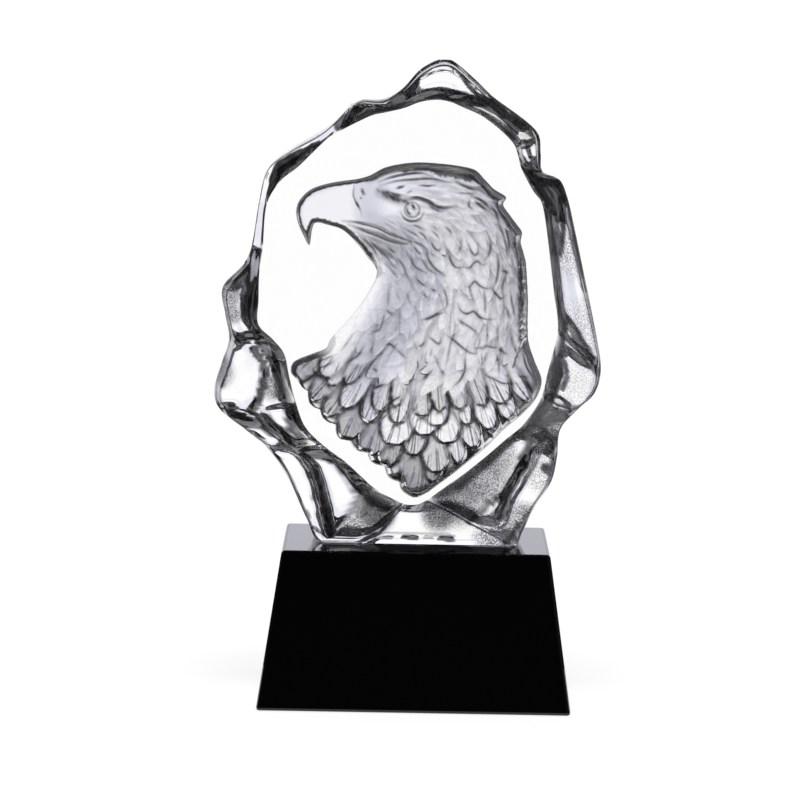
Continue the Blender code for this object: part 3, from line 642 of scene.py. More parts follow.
@dataclass
class ChiselledRim:
    """The rim of the block, from the edge of the polished window round to the flat back."""

    unit: float
    low: Vector
    high: Vector
    foot_front: float
    columns_per_facet: int = 18
    rows_per_knot: int = 5
    rib_thickness: float = 1.3
    back_chamfer: float = 1.5 * MILLIMETRE
    edge_round: float = 0.8 * MILLIMETRE
    crisp: float = 0.7
    ripple_size: float = 5.0 * MILLIMETRE
    ripple_height: float = 0.10 * MILLIMETRE
    streak_width: float = 1.3 * MILLIMETRE
    streak_stretch: float = 7.0
    streak_height: float = 0.35 * MILLIMETRE
    fine_streak: float = 0.6
    steep_from: float = 0.5
    steep_blend: float = 1.2
    seam_width: float = 8 * MILLIMETRE
    swell_rise: float = 8.0
    foot_swell: float = 0.4
    ridge_fade: float = 12.0
    ridge_waver: float = 0.3
    crest_round: float = 0.12
    mottle: float = 0.15
    mottle_size: float = 0.9
    waver_size: float = 1.8
    thick_from: float = 0.5
    thick_blend: float = -0.14
    knock: float = 0.7
    slope_share: float = 0.28
    side_rings: tuple[float, ...] = (0.12, 0.35, 0.65, 0.88)
    chamfer_rings: tuple[float, ...] = (0.0, 0.35, 0.7, 1.0)
    seed: int = 3

    def columns(self) -> dict[str, np.ndarray]:
        """Lay sections round the rim.

        Returns:
            For each section its outline and window points, its knots and whether it stands on the
            foot, as arrays with one entry a section.
        """
        count = self.columns_per_facet
        outline = along([corner[0] for corner in RIM], count, closed=True)
        window = along([corner[1] for corner in RIM], count, closed=True)
        between = np.array(SHELF(0.42).knots)
        knots, on_foot = [], []
        for index, (corner, _, section) in enumerate(RIM):
            after = (index + 1) % len(RIM)
            next_corner, _, next_section = RIM[after]
            here, there = np.array(section.knots), np.array(next_section.knots)
            standing = index in FOOT_CORNERS and after in FOOT_CORNERS
            length = math.dist(corner, next_corner)
            for step in range(count):
                share = step / count
                leaving = 1 - bell(np.array(share * length), self.rib_thickness)
                arriving = bell(np.array((1 - share) * length), self.rib_thickness)
                blend = share
                if section.is_rib and next_section.is_rib:
                    blend = float(smooth_step(np.array(share)))
                elif section.is_rib:
                    blend = float(leaving)
                elif next_section.is_rib:
                    blend = float(arriving)
                shape = here + (there - here) * blend
                if section.is_rib and next_section.is_rib and not standing:
                    hollow = float(min(leaving, 1 - arriving))
                    shape[:-1] += (between[:-1] - shape[:-1]) * hollow
                knots.append(shape)
                on_foot.append(standing or (step == 0 and index in FOOT_CORNERS))
        on_foot = np.array(on_foot)
        outline[on_foot, 1] = 0.0
        return {"outline": outline, "window": window, "knots": np.array(knots), "on_foot": on_foot}

    def ridged(self, drawn: np.ndarray) -> tuple[np.ndarray, np.ndarray]:
        """Work out how far the ridges stand out and the painted shade on their flanks.

        Args:
            drawn: Places in the drawing's units, one a row.

        Returns:
            The height of the highest ridge or deepest dent at each place, and the painted shade there.
        """
        raised, shade = np.zeros(len(drawn)), np.zeros(len(drawn))
        waver = 1 + self.ridge_waver * ripples(drawn, self.waver_size, self.seed + 4)
        mottle = 1 + self.mottle * (ripples(drawn, self.mottle_size, self.seed + 5) - 1)
        for ridge in RIDGES:
            line = along(ridge.line, 4) if len(ridge.line) > 2 else np.array(ridge.line)
            away = distance_to_line(drawn, line) * self.unit / MILLIMETRE * waver
            flank = np.maximum(1 - away / ridge.width, 0)
            swell = ridge.height * MILLIMETRE * flank * (1 - self.crest_round * flank**4)
            raised = np.where(np.abs(swell) > np.abs(raised), swell, raised)
            # painted shade over each ridge's flank, mottled
            shade = np.maximum(shade, ridge.dark * smooth_step(flank * 4) * mottle)
        return raised, shade

    def rings(self) -> tuple[list[np.ndarray], np.ndarray]:
        """Work out the rim's points.

        Returns:
            Rings of points from the window's edge round the outline to the edge of the flat back,
            and the painted shade on each point of the front rings.
        """
        laid = self.columns()
        across = [corner[0][0] for corner in RIM]
        middle = (self.low.x + self.high.x) / 2 / self.unit
        shift = np.array((middle - (max(across) + min(across)) / 2, 0))
        outline = (laid["outline"] + shift) * self.unit
        window = (laid["window"] + shift) * self.unit
        on_foot = laid["on_foot"]
        front, back = self.low.y, self.high.y
        depth = back - front
        knots = np.concatenate((np.zeros((len(outline), 1, 2)), laid["knots"]), axis=1)
        knots[on_foot, -1, 1] = (self.foot_front - front) / depth
        inward = window - outline
        inward /= np.linalg.norm(inward, axis=1)[:, None]
        thick = smooth_step(knots[:, -1, 1], self.thick_from, self.thick_blend)
        inward *= (1 - self.crisp * thick)[:, None]
        start = outline + inward * np.where(on_foot, 0, self.edge_round)[:, None]
        width = np.linalg.norm(start - window, axis=1)
        lengths = np.linalg.norm(np.roll(window, -1, axis=0) - window, axis=1)
        passed = np.cumsum(lengths) - lengths
        seam = smooth_step(np.minimum(passed, lengths.sum() - passed) / self.seam_width)
        rings, shades = [], []
        sections = list(self.smooth_sections(knots))
        for ring, (share, fall) in enumerate(sections):
            place = window + (start - window) * share[:, None]
            inner, outer = sections[max(ring - 1, 0)], sections[min(ring + 1, len(sections) - 1)]
            slope = np.abs(outer[1] - inner[1]) * depth / ((outer[0] - inner[0]) * width)
            swell = np.clip(share * (1 - share) * self.swell_rise, 0, 1)
            swell *= np.where(on_foot, self.foot_swell, 1)
            wave = self.ripple_height * ripples(place, self.ripple_size, self.seed)
            streaked = np.column_stack((passed / self.streak_stretch, share * width))
            streak = ripples(streaked, self.streak_width, self.seed + 1)
            streak += self.fine_streak * ripples(streaked, self.streak_width / 2, self.seed + 3)
            steep = smooth_step(slope, self.steep_from, self.steep_blend)
            wave += self.streak_height * streak * steep * seam
            begun = np.clip(share * self.ridge_fade, 0, 1)
            ends = begun * np.clip((1 - share) * self.ridge_fade, 0, 1)
            raised, shade = self.ridged(place / self.unit - shift)
            shades.append(shade * begun)
            deep = front + fall * depth + wave * swell - raised * ends
            rings.append(np.column_stack((place[:, 0], deep, place[:, 1])))
        edge = rings[-1][:, 1]
        knock = 1 + ripples(outline, 4 * self.ripple_size, self.seed + 2)
        knock *= self.edge_round * self.knock
        knocked = outline + inward * np.where(on_foot, 0, knock)[:, None]
        heel = np.full(len(edge), back - self.back_chamfer)
        for share in self.side_rings:
            place = outline + (knocked - outline) * share**2
            rings.append(np.column_stack((place[:, 0], edge + (heel - edge) * share, place[:, 1])))
        for turn in self.chamfer_rings:
            angle = turn * math.pi / 2
            place = knocked + inward * self.back_chamfer * (1 - math.cos(angle))
            deep = heel + self.back_chamfer * math.sin(angle)
            rings.append(np.column_stack((place[:, 0], deep, place[:, 1])))
        lowest = (self.low.x, self.low.y, 0)
        highest = (self.high.x, self.high.y, self.high.z - self.low.z)
        return [np.clip(ring, lowest, highest) for ring in rings], np.concatenate(shades)

    def smooth_sections(self, knots: np.ndarray) -> Iterable[tuple[np.ndarray, np.ndarray]]:
        """Round off the sections' knots.

        Args:
            knots: For each section its knots, from the window's edge to the outline.

        Returns:
            For each ring the share of the way and the fall at every section.
        """
        count = knots.shape[1]
        for row in range((count - 1) * self.rows_per_knot + 1):
            knot, part = divmod(row, self.rows_per_knot)
            t = part / self.rows_per_knot
            b, c = knots[:, knot], knots[:, min(knot + 1, count - 1)]
            a = knots[:, knot - 1] if knot else b
            d = knots[:, min(knot + 2, count - 1)]
            yield bent(b, c, (c - a) * self.slope_share, (d - b) * self.slope_share, t).T


class Style(Enum):
    """The kinds of feather, from the head down."""

    HAIR = "hair"
    LANCE = "lance"
    SCALLOP = "scallop"


@dataclass(frozen=True)
class Look:
    """How one kind of feather is cut. Lengths are in millimetres, and darkness, mostly painted shade, is
    from 0 to 1.
    """

    lift: float
    edge: float
    line: float
    line_dark: float
    shadow: float
    barb_spacing: float
    barb_depth: float
    barb_dark: float
    fibre_size: float
    fibre_dark: float
    round_from: float
    roundness: float
    bluntness: float


LOOKS: dict[Style, Look] = {
    Style.HAIR: Look(lift=0.45, edge=0.8, line=0.22, line_dark=0.14, shadow=0.03,
                     barb_spacing=1.2, barb_depth=0.05, barb_dark=0.06,
                     fibre_size=0.45, fibre_dark=0.035, round_from=0.20, roundness=1.9, bluntness=0.70),
    Style.LANCE: Look(lift=0.80, edge=0.9, line=0.24, line_dark=0.30, shadow=0.05,
                      barb_spacing=1.5, barb_depth=0.10, barb_dark=0.10,
                      fibre_size=0.55, fibre_dark=0.045, round_from=0.35, roundness=2.0, bluntness=0.62),
    Style.SCALLOP: Look(lift=1.60, edge=1.1, line=0.68, line_dark=1.00, shadow=0.18,
                        barb_spacing=1.15, barb_depth=0.16, barb_dark=0.95,
                        fibre_size=0.50, fibre_dark=0.05, round_from=0.45, roundness=2.4, bluntness=0.50),
}


@dataclass(frozen=True)
class Feather:
    """One feather of the plumage."""

    place: float
    root: np.ndarray
    way: np.ndarray
    length: float
    half_width: float
    style: Style
    # painted shade: the feather's grey tone and the strength of the dark line round it
    tone: float
    line: float
    bend: float
    side: int
    seed: int
    slant: float = 0.9
    streak_stretch: float = 5.0
    fan_root: float = 0.15
    side_shift: int = 30
    barb_kinds: int = 64
    barb_starts: tuple[float, float] = (0.28, 0.72)
    barb_shift: float = 0.3
    barb_width: float = 0.18 * MILLIMETRE
    shaft_width: float = 0.20 * MILLIMETRE
    shaft_from: float = 0.35
    barb_blend: float = 0.12
    shaft_blend: float = 0.2
    contrast: float = 1.5
    bare_from: float = 0.97

    def local(self, places: np.ndarray) -> tuple[np.ndarray, np.ndarray]:
        """Give places in the feather's own measure.

        Args:
            places: The places, one a row.

        Returns:
            How far along the feather each place is and how far across it, both as shares.
        """
        offset = places - self.root
        sideways = np.array((-self.way[1], self.way[0]))
        run = offset @ self.way / self.length
        return run, offset @ sideways / self.half_width - 4 * self.bend * run * (1 - run)

    def inside(self, run: np.ndarray, across: np.ndarray) -> np.ndarray:
        """How deep each place lies inside the feather's edge, below 0 outside it.

        Args:
            run: Shares of the feather's length.
            across: Shares of its half width.

        Returns:
            One depth for each place.
        """
        look = LOOKS[self.style]
        narrowing = np.clip((run - look.round_from) / (1 - look.round_from), 0, 1)
        wide = np.clip(1 - narrowing**look.roundness, 0, 1) ** look.bluntness
        deep = np.minimum((wide - np.abs(across)) * self.half_width, (1 - run) * self.length)
        return np.where(run < 0, -1.0, deep)

    def fibres(self, run: np.ndarray, across: np.ndarray) -> np.ndarray:
        """Fine streaks: along hair, and slanting away from the shaft on the other feathers.

        Args:
            run: Shares of the feather's length.
            across: Shares of its half width.

        Returns:
            One height for each place, from -1 to 1.
        """
        look = LOOKS[self.style]
        aside = across * self.half_width
        if self.style is Style.HAIR:
            streaked = run * self.length / self.streak_stretch, aside
        else:
            streaked = run * self.length - self.slant * np.abs(aside), aside / self.streak_stretch
        return ripples(np.column_stack(streaked), look.fibre_size * MILLIMETRE, self.seed)

    def barbs(self, run: np.ndarray, across: np.ndarray) -> np.ndarray:
        """How strongly each place lies in one of the strokes between the barbs.

        Args:
            run: Shares of the feather's length.
            across: Shares of its half width.

        Returns:
            The strength at each place, from 0 to 1.
        """
        look = LOOKS[self.style]
        spacing = look.barb_spacing * MILLIMETRE
        aside = across * self.half_width
        if self.style is Style.SCALLOP:
            reach = (run + self.fan_root) * self.length
            turn = np.arctan2(aside, reach) * self.length / spacing
            gap = spacing * reach / self.length
        else:
            turn = (run * self.length - self.slant * np.abs(aside)) / spacing
            turn, gap = turn + self.side_shift * (aside > 0), spacing
        number = np.round(turn).astype(int)
        kind = number % self.barb_kinds
        chance = np.random.default_rng(self.seed)
        strength = chance.uniform(0, 1, self.barb_kinds) ** self.contrast
        start = chance.uniform(*self.barb_starts, self.barb_kinds)
        shift = chance.uniform(-self.barb_shift, self.barb_shift, self.barb_kinds)
        off = np.abs(turn - number - shift[kind]) * gap
        stroke = strength[kind] * bell(off, self.barb_width)
        stroke *= smooth_step(run, start[kind], self.barb_blend)
        shaft = strength[0] * bell(aside, self.shaft_width)
        shaft *= smooth_step(run, self.shaft_from, self.shaft_blend)
        return np.maximum(stroke, shaft) * (run < self.bare_from)


@dataclass
class Plumage:
    """The eagle's feathers, laid in rows between guide lines from the face to the chest's foot."""

    unit: float
    # painted shade: grey tone of the etched form on the face, the neck and the nape
    face_tone: float = 0.02
    neck_tone: float = 0.08
    nape_tone: float = 0.16
    tone_spread: float = 0.018
    shadow_width: float = 0.9 * MILLIMETRE
    shadow_from: float = 0.25
    grain: float = 0.28
    grain_size: float = 1.1 * MILLIMETRE
    full_width: float = 4.2 * MILLIMETRE
    root_lift: float = 0.10
    crown: float = 0.30
    fibre_height: float = 0.4
    # painted highlight along the inside of each feather's edge
    edge_highlight: float = 0.5
    edge_highlight_place: float = 0.4 * MILLIMETRE
    edge_highlight_width: float = 0.35 * MILLIMETRE
    reach_back: float = 2.4
    side_spread: float = 0.20
    shift_spread: float = 0.30
    turn_spread: float = 0.14
    length_share: float = 1.1
    length_spread: float = 0.12
    width_spread: float = 0.16
    bend_spread: float = 0.35
    hair_share: float = 0.40
    lance_share: float = 0.60
    contrast: float = 1.5
    neck_from: Point = (2.0, 66.0)
    neck_blend: Point = (12.0, 10.0)
    nape_from: float = 13.0
    nape_blend: float = 9.0
    line_root: float = 0.25
    line_from: float = 0.35
    line_weak: float = 0.65
    line_out: float = 0.3
    line_bare: float = 0.1
    weak_from: float = 0.15
    weak_until: float = 0.92
    guide_steps: int = 12
    seeds: int = 1000
    seed: int = 7
    guides: tuple[tuple[Point, ...], ...] = (
        ((-12.1, 63.0), (-9.2, 67.8), (-8.0, 71.0), (-7.7, 73.9), (-6.9, 76.8)),
        ((-10.4, 61.3), (-3.8, 65.2), (-0.5, 67.8), (1.9, 73.2), (-0.3, 78.8)),
        ((-8.3, 58.9), (0.0, 61.5), (7.2, 66.6), (9.1, 72.3), (7.0, 78.7)),
        ((-6.8, 56.2), (2.2, 56.5), (11.4, 60.9), (16.5, 68.3), (15.9, 74.7)),
        ((-7.8, 53.2), (3.3, 50.3), (13.7, 52.6), (20.8, 59.0), (22.3, 66.3)),
        ((-11.8, 46.3), (0.3, 42.9), (11.8, 43.1), (20.0, 48.5), (24.7, 52.8)),
        ((-16.3, 41.3), (-5.8, 34.4), (6.8, 32.5), (18.2, 36.9), (25.3, 43.3)),
        ((-20.9, 38.5), (-9.9, 28.0), (4.9, 24.0), (19.4, 29.6), (26.7, 37.1)),
    )
    rows: tuple[float, ...] = (1.2, 1.45, 1.7, 1.95, 2.2, 2.45, 2.75, 3.1, 3.45, 3.8, 4.2, 4.6, 5.0, 5.4,
                               5.8, 6.2)
    feathers_in_row: tuple[int, ...] = (14, 19, 20, 19, 17, 15, 14, 13)
    lances_from: float = 2.5
    chest_from: Point = (4.0, 60.0)
    chest_length: float = 10.0
    chest_tone: float = 0.8
    chest_bend: float = 0.10
    chest_lines: tuple[float, float] = (0.85, 1.0)
    # The chest's feathers: tip, half width and painted grey tone
    chest: tuple[tuple[Point, float, float], ...] = (
        ((-17.8, 33.5), 2.4, 0.05), ((-12.9, 32.2), 1.6, 0.17), ((-6.1, 26.7), 2.1, 0.15),
        ((-2.2, 24.2), 2.2, 0.08), ((3.1, 25.8), 2.2, 0.20), ((6.8, 27.2), 1.7, 0.18),
        ((11.3, 27.5), 2.0, 0.18), ((16.1, 28.4), 1.8, 0.17), ((20.5, 29.0), 3.0, 0.08),
        ((25.8, 29.0), 1.8, 0.07), ((-8.5, 24.3), 2.5, 0.08), ((-3.0, 19.6), 3.6, 0.05),
        ((3.6, 21.7), 3.3, 0.03), ((6.5, 23.8), 2.7, 0.03), ((8.7, 20.1), 3.2, 0.03),
        ((14.2, 19.3), 2.6, 0.10), ((17.7, 23.3), 2.5, 0.03), ((22.3, 25.0), 2.4, 0.03),
        ((12.8, 24.2), 2.0, 0.05), ((-17.1, 25.3), 2.5, 0.28), ((-13.1, 20.2), 3.0, 0.33),
        ((-8.3, 17.2), 3.2, 0.32), ((-4.3, 14.7), 2.6, 0.38), ((1.4, 17.4), 2.6, 0.17),
        ((6.5, 13.9), 3.2, 0.20), ((11.3, 15.6), 2.1, 0.08), ((15.0, 17.5), 2.1, 0.08),
        ((2.0, 9.2), 3.9, 0.41), ((6.0, 11.6), 2.2, 0.40), ((-23.1, 32.6), 2.0, 0.30),
        ((-20.2, 28.5), 2.2, 0.30), ((-16.4, 31.9), 2.0, 0.10), ((-13.4, 27.0), 2.3, 0.07),
        ((18.8, 21.4), 2.2, 0.10), ((-2.6, 28.0), 1.5, 0.13),
    )
    feathers: list[Feather] = field(default_factory=list)

    def __post_init__(self) -> None:
        """Lay the feathers, so that the ones that lie on top come last."""
        chance = np.random.default_rng(self.seed)
        guides = [along(np.array(guide) * self.unit, self.guide_steps) for guide in self.guides]
        gap = self.rows[1] - self.rows[0]
        for row, place in enumerate(self.rows):
            if row:
                gap = place - self.rows[row - 1]
            count = round(float(np.interp(place, range(len(guides)), self.feathers_in_row)))
            for number in range(-1, count + 1):
                side = (number + 0.5 * (row % 2) + 0.5 + chance.normal(0, self.side_spread)) / count
                shift = chance.normal(0, self.shift_spread) * gap
                tip = self.on_guides(guides, place + shift, side)
                back = self.on_guides(guides, place + shift - self.reach_back * gap, side)
                room = (self.on_guides(guides, place, side + 0.5 / count)
                        - self.on_guides(guides, place, side - 0.5 / count))
                self.feathers.append(self.cut(place, tip, back, room, chance))
        start = np.array(self.chest_from)
        for tip, half_width, tone in self.chest:
            away = float(np.linalg.norm(np.array(tip) - start))
            way = (np.array(tip) - start) / away
            root = (np.array(tip) - way * self.chest_length) * self.unit
            self.feathers.append(Feather(
                len(guides) + away, root, way, self.chest_length * self.unit, half_width * self.unit,
                Style.SCALLOP, self.chest_tone * tone, chance.uniform(*self.chest_lines),
                chance.normal(0, self.chest_bend), int(chance.integers(-1, 2)),
                int(chance.integers(self.seeds))))
        self.feathers.sort(key=lambda feather: -feather.place)

    def cut(self, place: float, tip: np.ndarray, back: np.ndarray, room: np.ndarray,
            chance: np.random.Generator) -> Feather:
        """Cut one feather of the head or the neck to its place.

        Args:
            place: Which row it is in.
            tip: Where it ends.
            back: Where it would start without any chance.
            room: From the middle of one neighbour to the middle of the other, halved.
            chance: Source of the small differences.

        Returns:
            The feather.
        """
        length = float(np.linalg.norm(tip - back))
        x, z = (tip - back) / length
        turn = chance.normal(0, self.turn_spread)
        way = np.array((x * math.cos(turn) - z * math.sin(turn), x * math.sin(turn) + z * math.cos(turn)))
        length *= self.length_share + chance.normal(0, self.length_spread)
        wide = float(np.linalg.norm(room)) * (1 + chance.normal(0, self.width_spread))
        style, share = Style.LANCE, self.lance_share
        if place < self.lances_from:
            style, share = Style.HAIR, self.hair_share
        tone = float(self.tone(tip[None])[0]) + chance.normal(0, self.tone_spread)
        return Feather(place, tip - way * length, way, length, wide * share, style, tone,
                       chance.uniform(0, 1) ** self.contrast, chance.normal(0, self.bend_spread),
                       int(chance.choice((-1, 1))), int(chance.integers(self.seeds)))

    @staticmethod
    def on_guides(guides: list[np.ndarray], place: float, side: float) -> np.ndarray:
        """Find a point between the guide lines.

        Args:
            guides: The guide lines.
            place: Number of the guide line, with parts between two of them.
            side: Share of the way from the throat to the crown.

        Returns:
            The point.
        """
        low = int(np.clip(math.floor(place), 0, len(guides) - 2))
        spots = []
        for guide in (guides[low], guides[low + 1]):
            at = side * (len(guide) - 1)
            first = int(np.clip(math.floor(at), 0, len(guide) - 2))
            spots.append(guide[first] + (guide[first + 1] - guide[first]) * (at - first))
        return spots[0] + (spots[1] - spots[0]) * (place - low)

    def tone(self, places: np.ndarray) -> np.ndarray:
        """Painted shade of the plain etched form: light on the face, darker towards the nape.

        Args:
            places: The places, one a row.

        Returns:
            One tone for each place, from 0 to 1.
        """
        x, z = (places / self.unit).T
        neck = smooth_step((x - self.neck_from[0]) / self.neck_blend[0]
                           + (self.neck_from[1] - z) / self.neck_blend[1])
        nape = smooth_step(x, self.nape_from, self.nape_blend)
        tone = self.face_tone + (self.neck_tone - self.face_tone) * neck
        return tone + (self.nape_tone - tone) * nape

    def relief(self, places: np.ndarray) -> tuple[np.ndarray, np.ndarray]:
        """Lay the overlapping feathers over the form.

        Args:
            places: The places, one a row.

        Returns:
            How far the feathers stand out at each place, and its painted shade from 0 to 1.
        """
        relief, shade = np.zeros(len(places)), self.tone(places)
        grain = 1 + self.grain * (ripples(places, self.grain_size, self.seed) - 1)
        for feather in self.feathers:
            reach = feather.length + 2 * feather.half_width
            near = np.flatnonzero(np.abs(places - feather.root).max(axis=1) < reach)
            if not len(near):
                continue
            look = LOOKS[feather.style]
            run, across = feather.local(places[near])
            inside = feather.inside(run, across)
            covers = smooth_step(inside / (look.edge * MILLIMETRE))
            barbs = feather.barbs(run, across)
            fibres = feather.fibres(run, across)
            rise = self.root_lift + (1 - self.root_lift) * run - self.crown * across**2
            rise *= look.lift * MILLIMETRE * min(1.0, feather.half_width / self.full_width)
            rise -= look.barb_depth * MILLIMETRE * (barbs - self.fibre_height * fibres)
            # painted highlight: a pale band just inside the feather's edge
            pale = 1 - self.edge_highlight * bell(inside - self.edge_highlight_place, self.edge_highlight_width)
            tone = np.clip(feather.tone * pale + look.fibre_dark * fibres, 0, 1)
            # painted shade: the feather's grey tone and the dark strokes between its barbs
            dark = 1 - (1 - tone) * (1 - look.barb_dark * barbs * grain[near])
            relief[near] += (rise - relief[near]) * covers
            # painted shadow that this feather casts just beyond its edge onto the feathers beneath
            under = look.shadow * bell(inside + self.shadow_width, self.shadow_width)
            kept = (1 - shade[near]) * (1 - under * (inside < 0) * (run > self.shadow_from))
            kept = kept + (1 - dark - kept) * covers
            shade[near] = 1 - kept * (1 - self.line(feather, run, across, inside) * grain[near])
        return relief, shade

    def line(self, feather: Feather, run: np.ndarray, across: np.ndarray,
             inside: np.ndarray) -> np.ndarray:
        """Painted shade along the cut round a feather: strong at its tip and weak along one side.

        Args:
            feather: The feather.
            run: Shares of its length.
            across: Shares of its half width.
            inside: How deep each place lies inside its edge.

        Returns:
            The painted shade at each place.
        """
        look = LOOKS[feather.style]
        width = look.line * MILLIMETRE
        tip = self.line_root + (1 - self.line_root) * smooth_step(run, self.line_from, self.line_from)
        weak = 1 - self.line_weak * (across * feather.side > self.weak_from) * (run < self.weak_until)
        strength = look.line_dark * feather.line * tip * weak
        return strength * bell(inside + self.line_out * width, width) * (run > self.line_bare)


def arc(middle: Point, radius: float, start: float, stop: float, steps: int = 10) -> tuple[Point, ...]:
    """Points of an arc between two turns, in degrees from +X."""
    turns = np.radians(np.linspace(start, stop, steps + 1))
    return tuple((middle[0] + radius * math.cos(turn), middle[1] + radius * math.sin(turn))
                 for turn in turns)


# How far the strokes of a hatching stray, and their lengths, painted shade, width and height
HATCH_SPREAD = 0.1
HATCH_LENGTHS = (0.7, 1.1)
HATCH_TONES = (0.6, 1.0)
HATCH_CUT = (0.17, -0.12)


def hatching(first: Point, last: Point, stroke: Point, count: int, dark: float) -> tuple[Mark, ...]:
    """Short strokes side by side.

    Args:
        first: Where the first stroke starts.
        last: Where the last stroke starts.
        stroke: How each stroke runs.
        count: How many strokes there are.
        dark: Their painted shade.

    Returns:
        The strokes as marks.
    """
    chance = np.random.default_rng(count)
    marks = []
    for share in np.linspace(0, 1, count):
        x = first[0] + (last[0] - first[0]) * share + chance.normal(0, HATCH_SPREAD)
        z = first[1] + (last[1] - first[1]) * share + chance.normal(0, HATCH_SPREAD)
        long = chance.uniform(*HATCH_LENGTHS)
        end = (x + stroke[0] * long, z + stroke[1] * long)
        marks.append(Mark(((x, z), end), *HATCH_CUT, dark * chance.uniform(*HATCH_TONES)))
    return tuple(marks)


# The carving's outline, clockwise from the tip of the beak
EAGLE: tuple[Point, ...] = (
    (-21.0, 61.0), (-22.2, 62.9), (-23.2, 65.0), (-23.8, 67.1), (-23.7, 69.2), (-22.7, 71.0), (-20.8, 72.7),
    (-17.9, 73.8), (-14.6, 74.5), (-11.3, 75.0), (-8.6, 75.8), (-5.7, 77.4), (-2.2, 78.3), (1.6, 78.7),
    (6.2, 78.5), (9.9, 78.1), (13.3, 77.3), (15.4, 75.3), (17.3, 73.4), (19.8, 71.8), (19.3, 70.1),
    (21.2, 67.4), (23.3, 64.5), (23.1, 62.4), (24.2, 58.5), (24.7, 53.6), (24.9, 49.9), (25.1, 42.1),
    (26.4, 37.9), (28.0, 34.1), (28.0, 32.0), (26.8, 29.2), (24.1, 26.1), (20.3, 22.8), (17.0, 19.3),
    (13.4, 16.2), (9.9, 13.2), (6.8, 10.8), (4.1, 8.8), (1.4, 8.0), (-1.4, 10.0), (-5.3, 14.0), (-8.0, 16.0),
    (-10.6, 18.1), (-14.0, 20.2), (-16.1, 23.1), (-19.3, 26.1), (-21.3, 29.0), (-22.8, 32.1), (-24.5, 34.2),
    (-23.9, 36.4), (-20.1, 38.2), (-17.2, 39.4), (-16.3, 41.3), (-13.9, 44.1), (-11.5, 46.9), (-8.6, 51.2),
    (-6.8, 55.6), (-8.8, 58.7), (-11.1, 61.6), (-14.1, 64.3), (-17.2, 65.3), (-19.7, 65.7), (-20.5, 64.2),
)
EYE: Point = (0.3, 69.1)

# Painted shade along the carving's steep edge, part by part: beak, crown, nape, right side, foot, left side,
# throat, and two marks painted over bright glints in the notches at the back of the head
EDGES = tuple(Mark(line, width, 0.0, dark) for line, width, dark in (
    (EAGLE[0:6], 1.15, 0.93), (EAGLE[5:11], 1.00, 0.88), (EAGLE[10:13], 1.30, 0.66),
    (EAGLE[12:15], 1.90, 0.68), (EAGLE[14:17], 3.00, 0.66), (EAGLE[16:20], 1.90, 0.70),
    (EAGLE[19:24], 1.80, 0.50), (EAGLE[23:28], 2.00, 0.46), (EAGLE[27:31], 0.45, 0.75),
    (EAGLE[31:37], 0.90, 0.84), (EAGLE[36:42], 1.60, 0.94), (EAGLE[41:49], 0.95, 0.88),
    (EAGLE[48:50], 1.20, 0.80), (EAGLE[49:54], 1.60, 0.80), (EAGLE[57:], 1.45, 0.90),
    (EAGLE[63:] + EAGLE[:1], 0.85, 0.92), (((19.1, 71.3), (18.8, 70.3), (19.5, 69.3)), 0.90, 0.80),
    (((22.9, 63.9), (22.6, 62.9), (22.8, 61.8)), 0.90, 0.75),
))
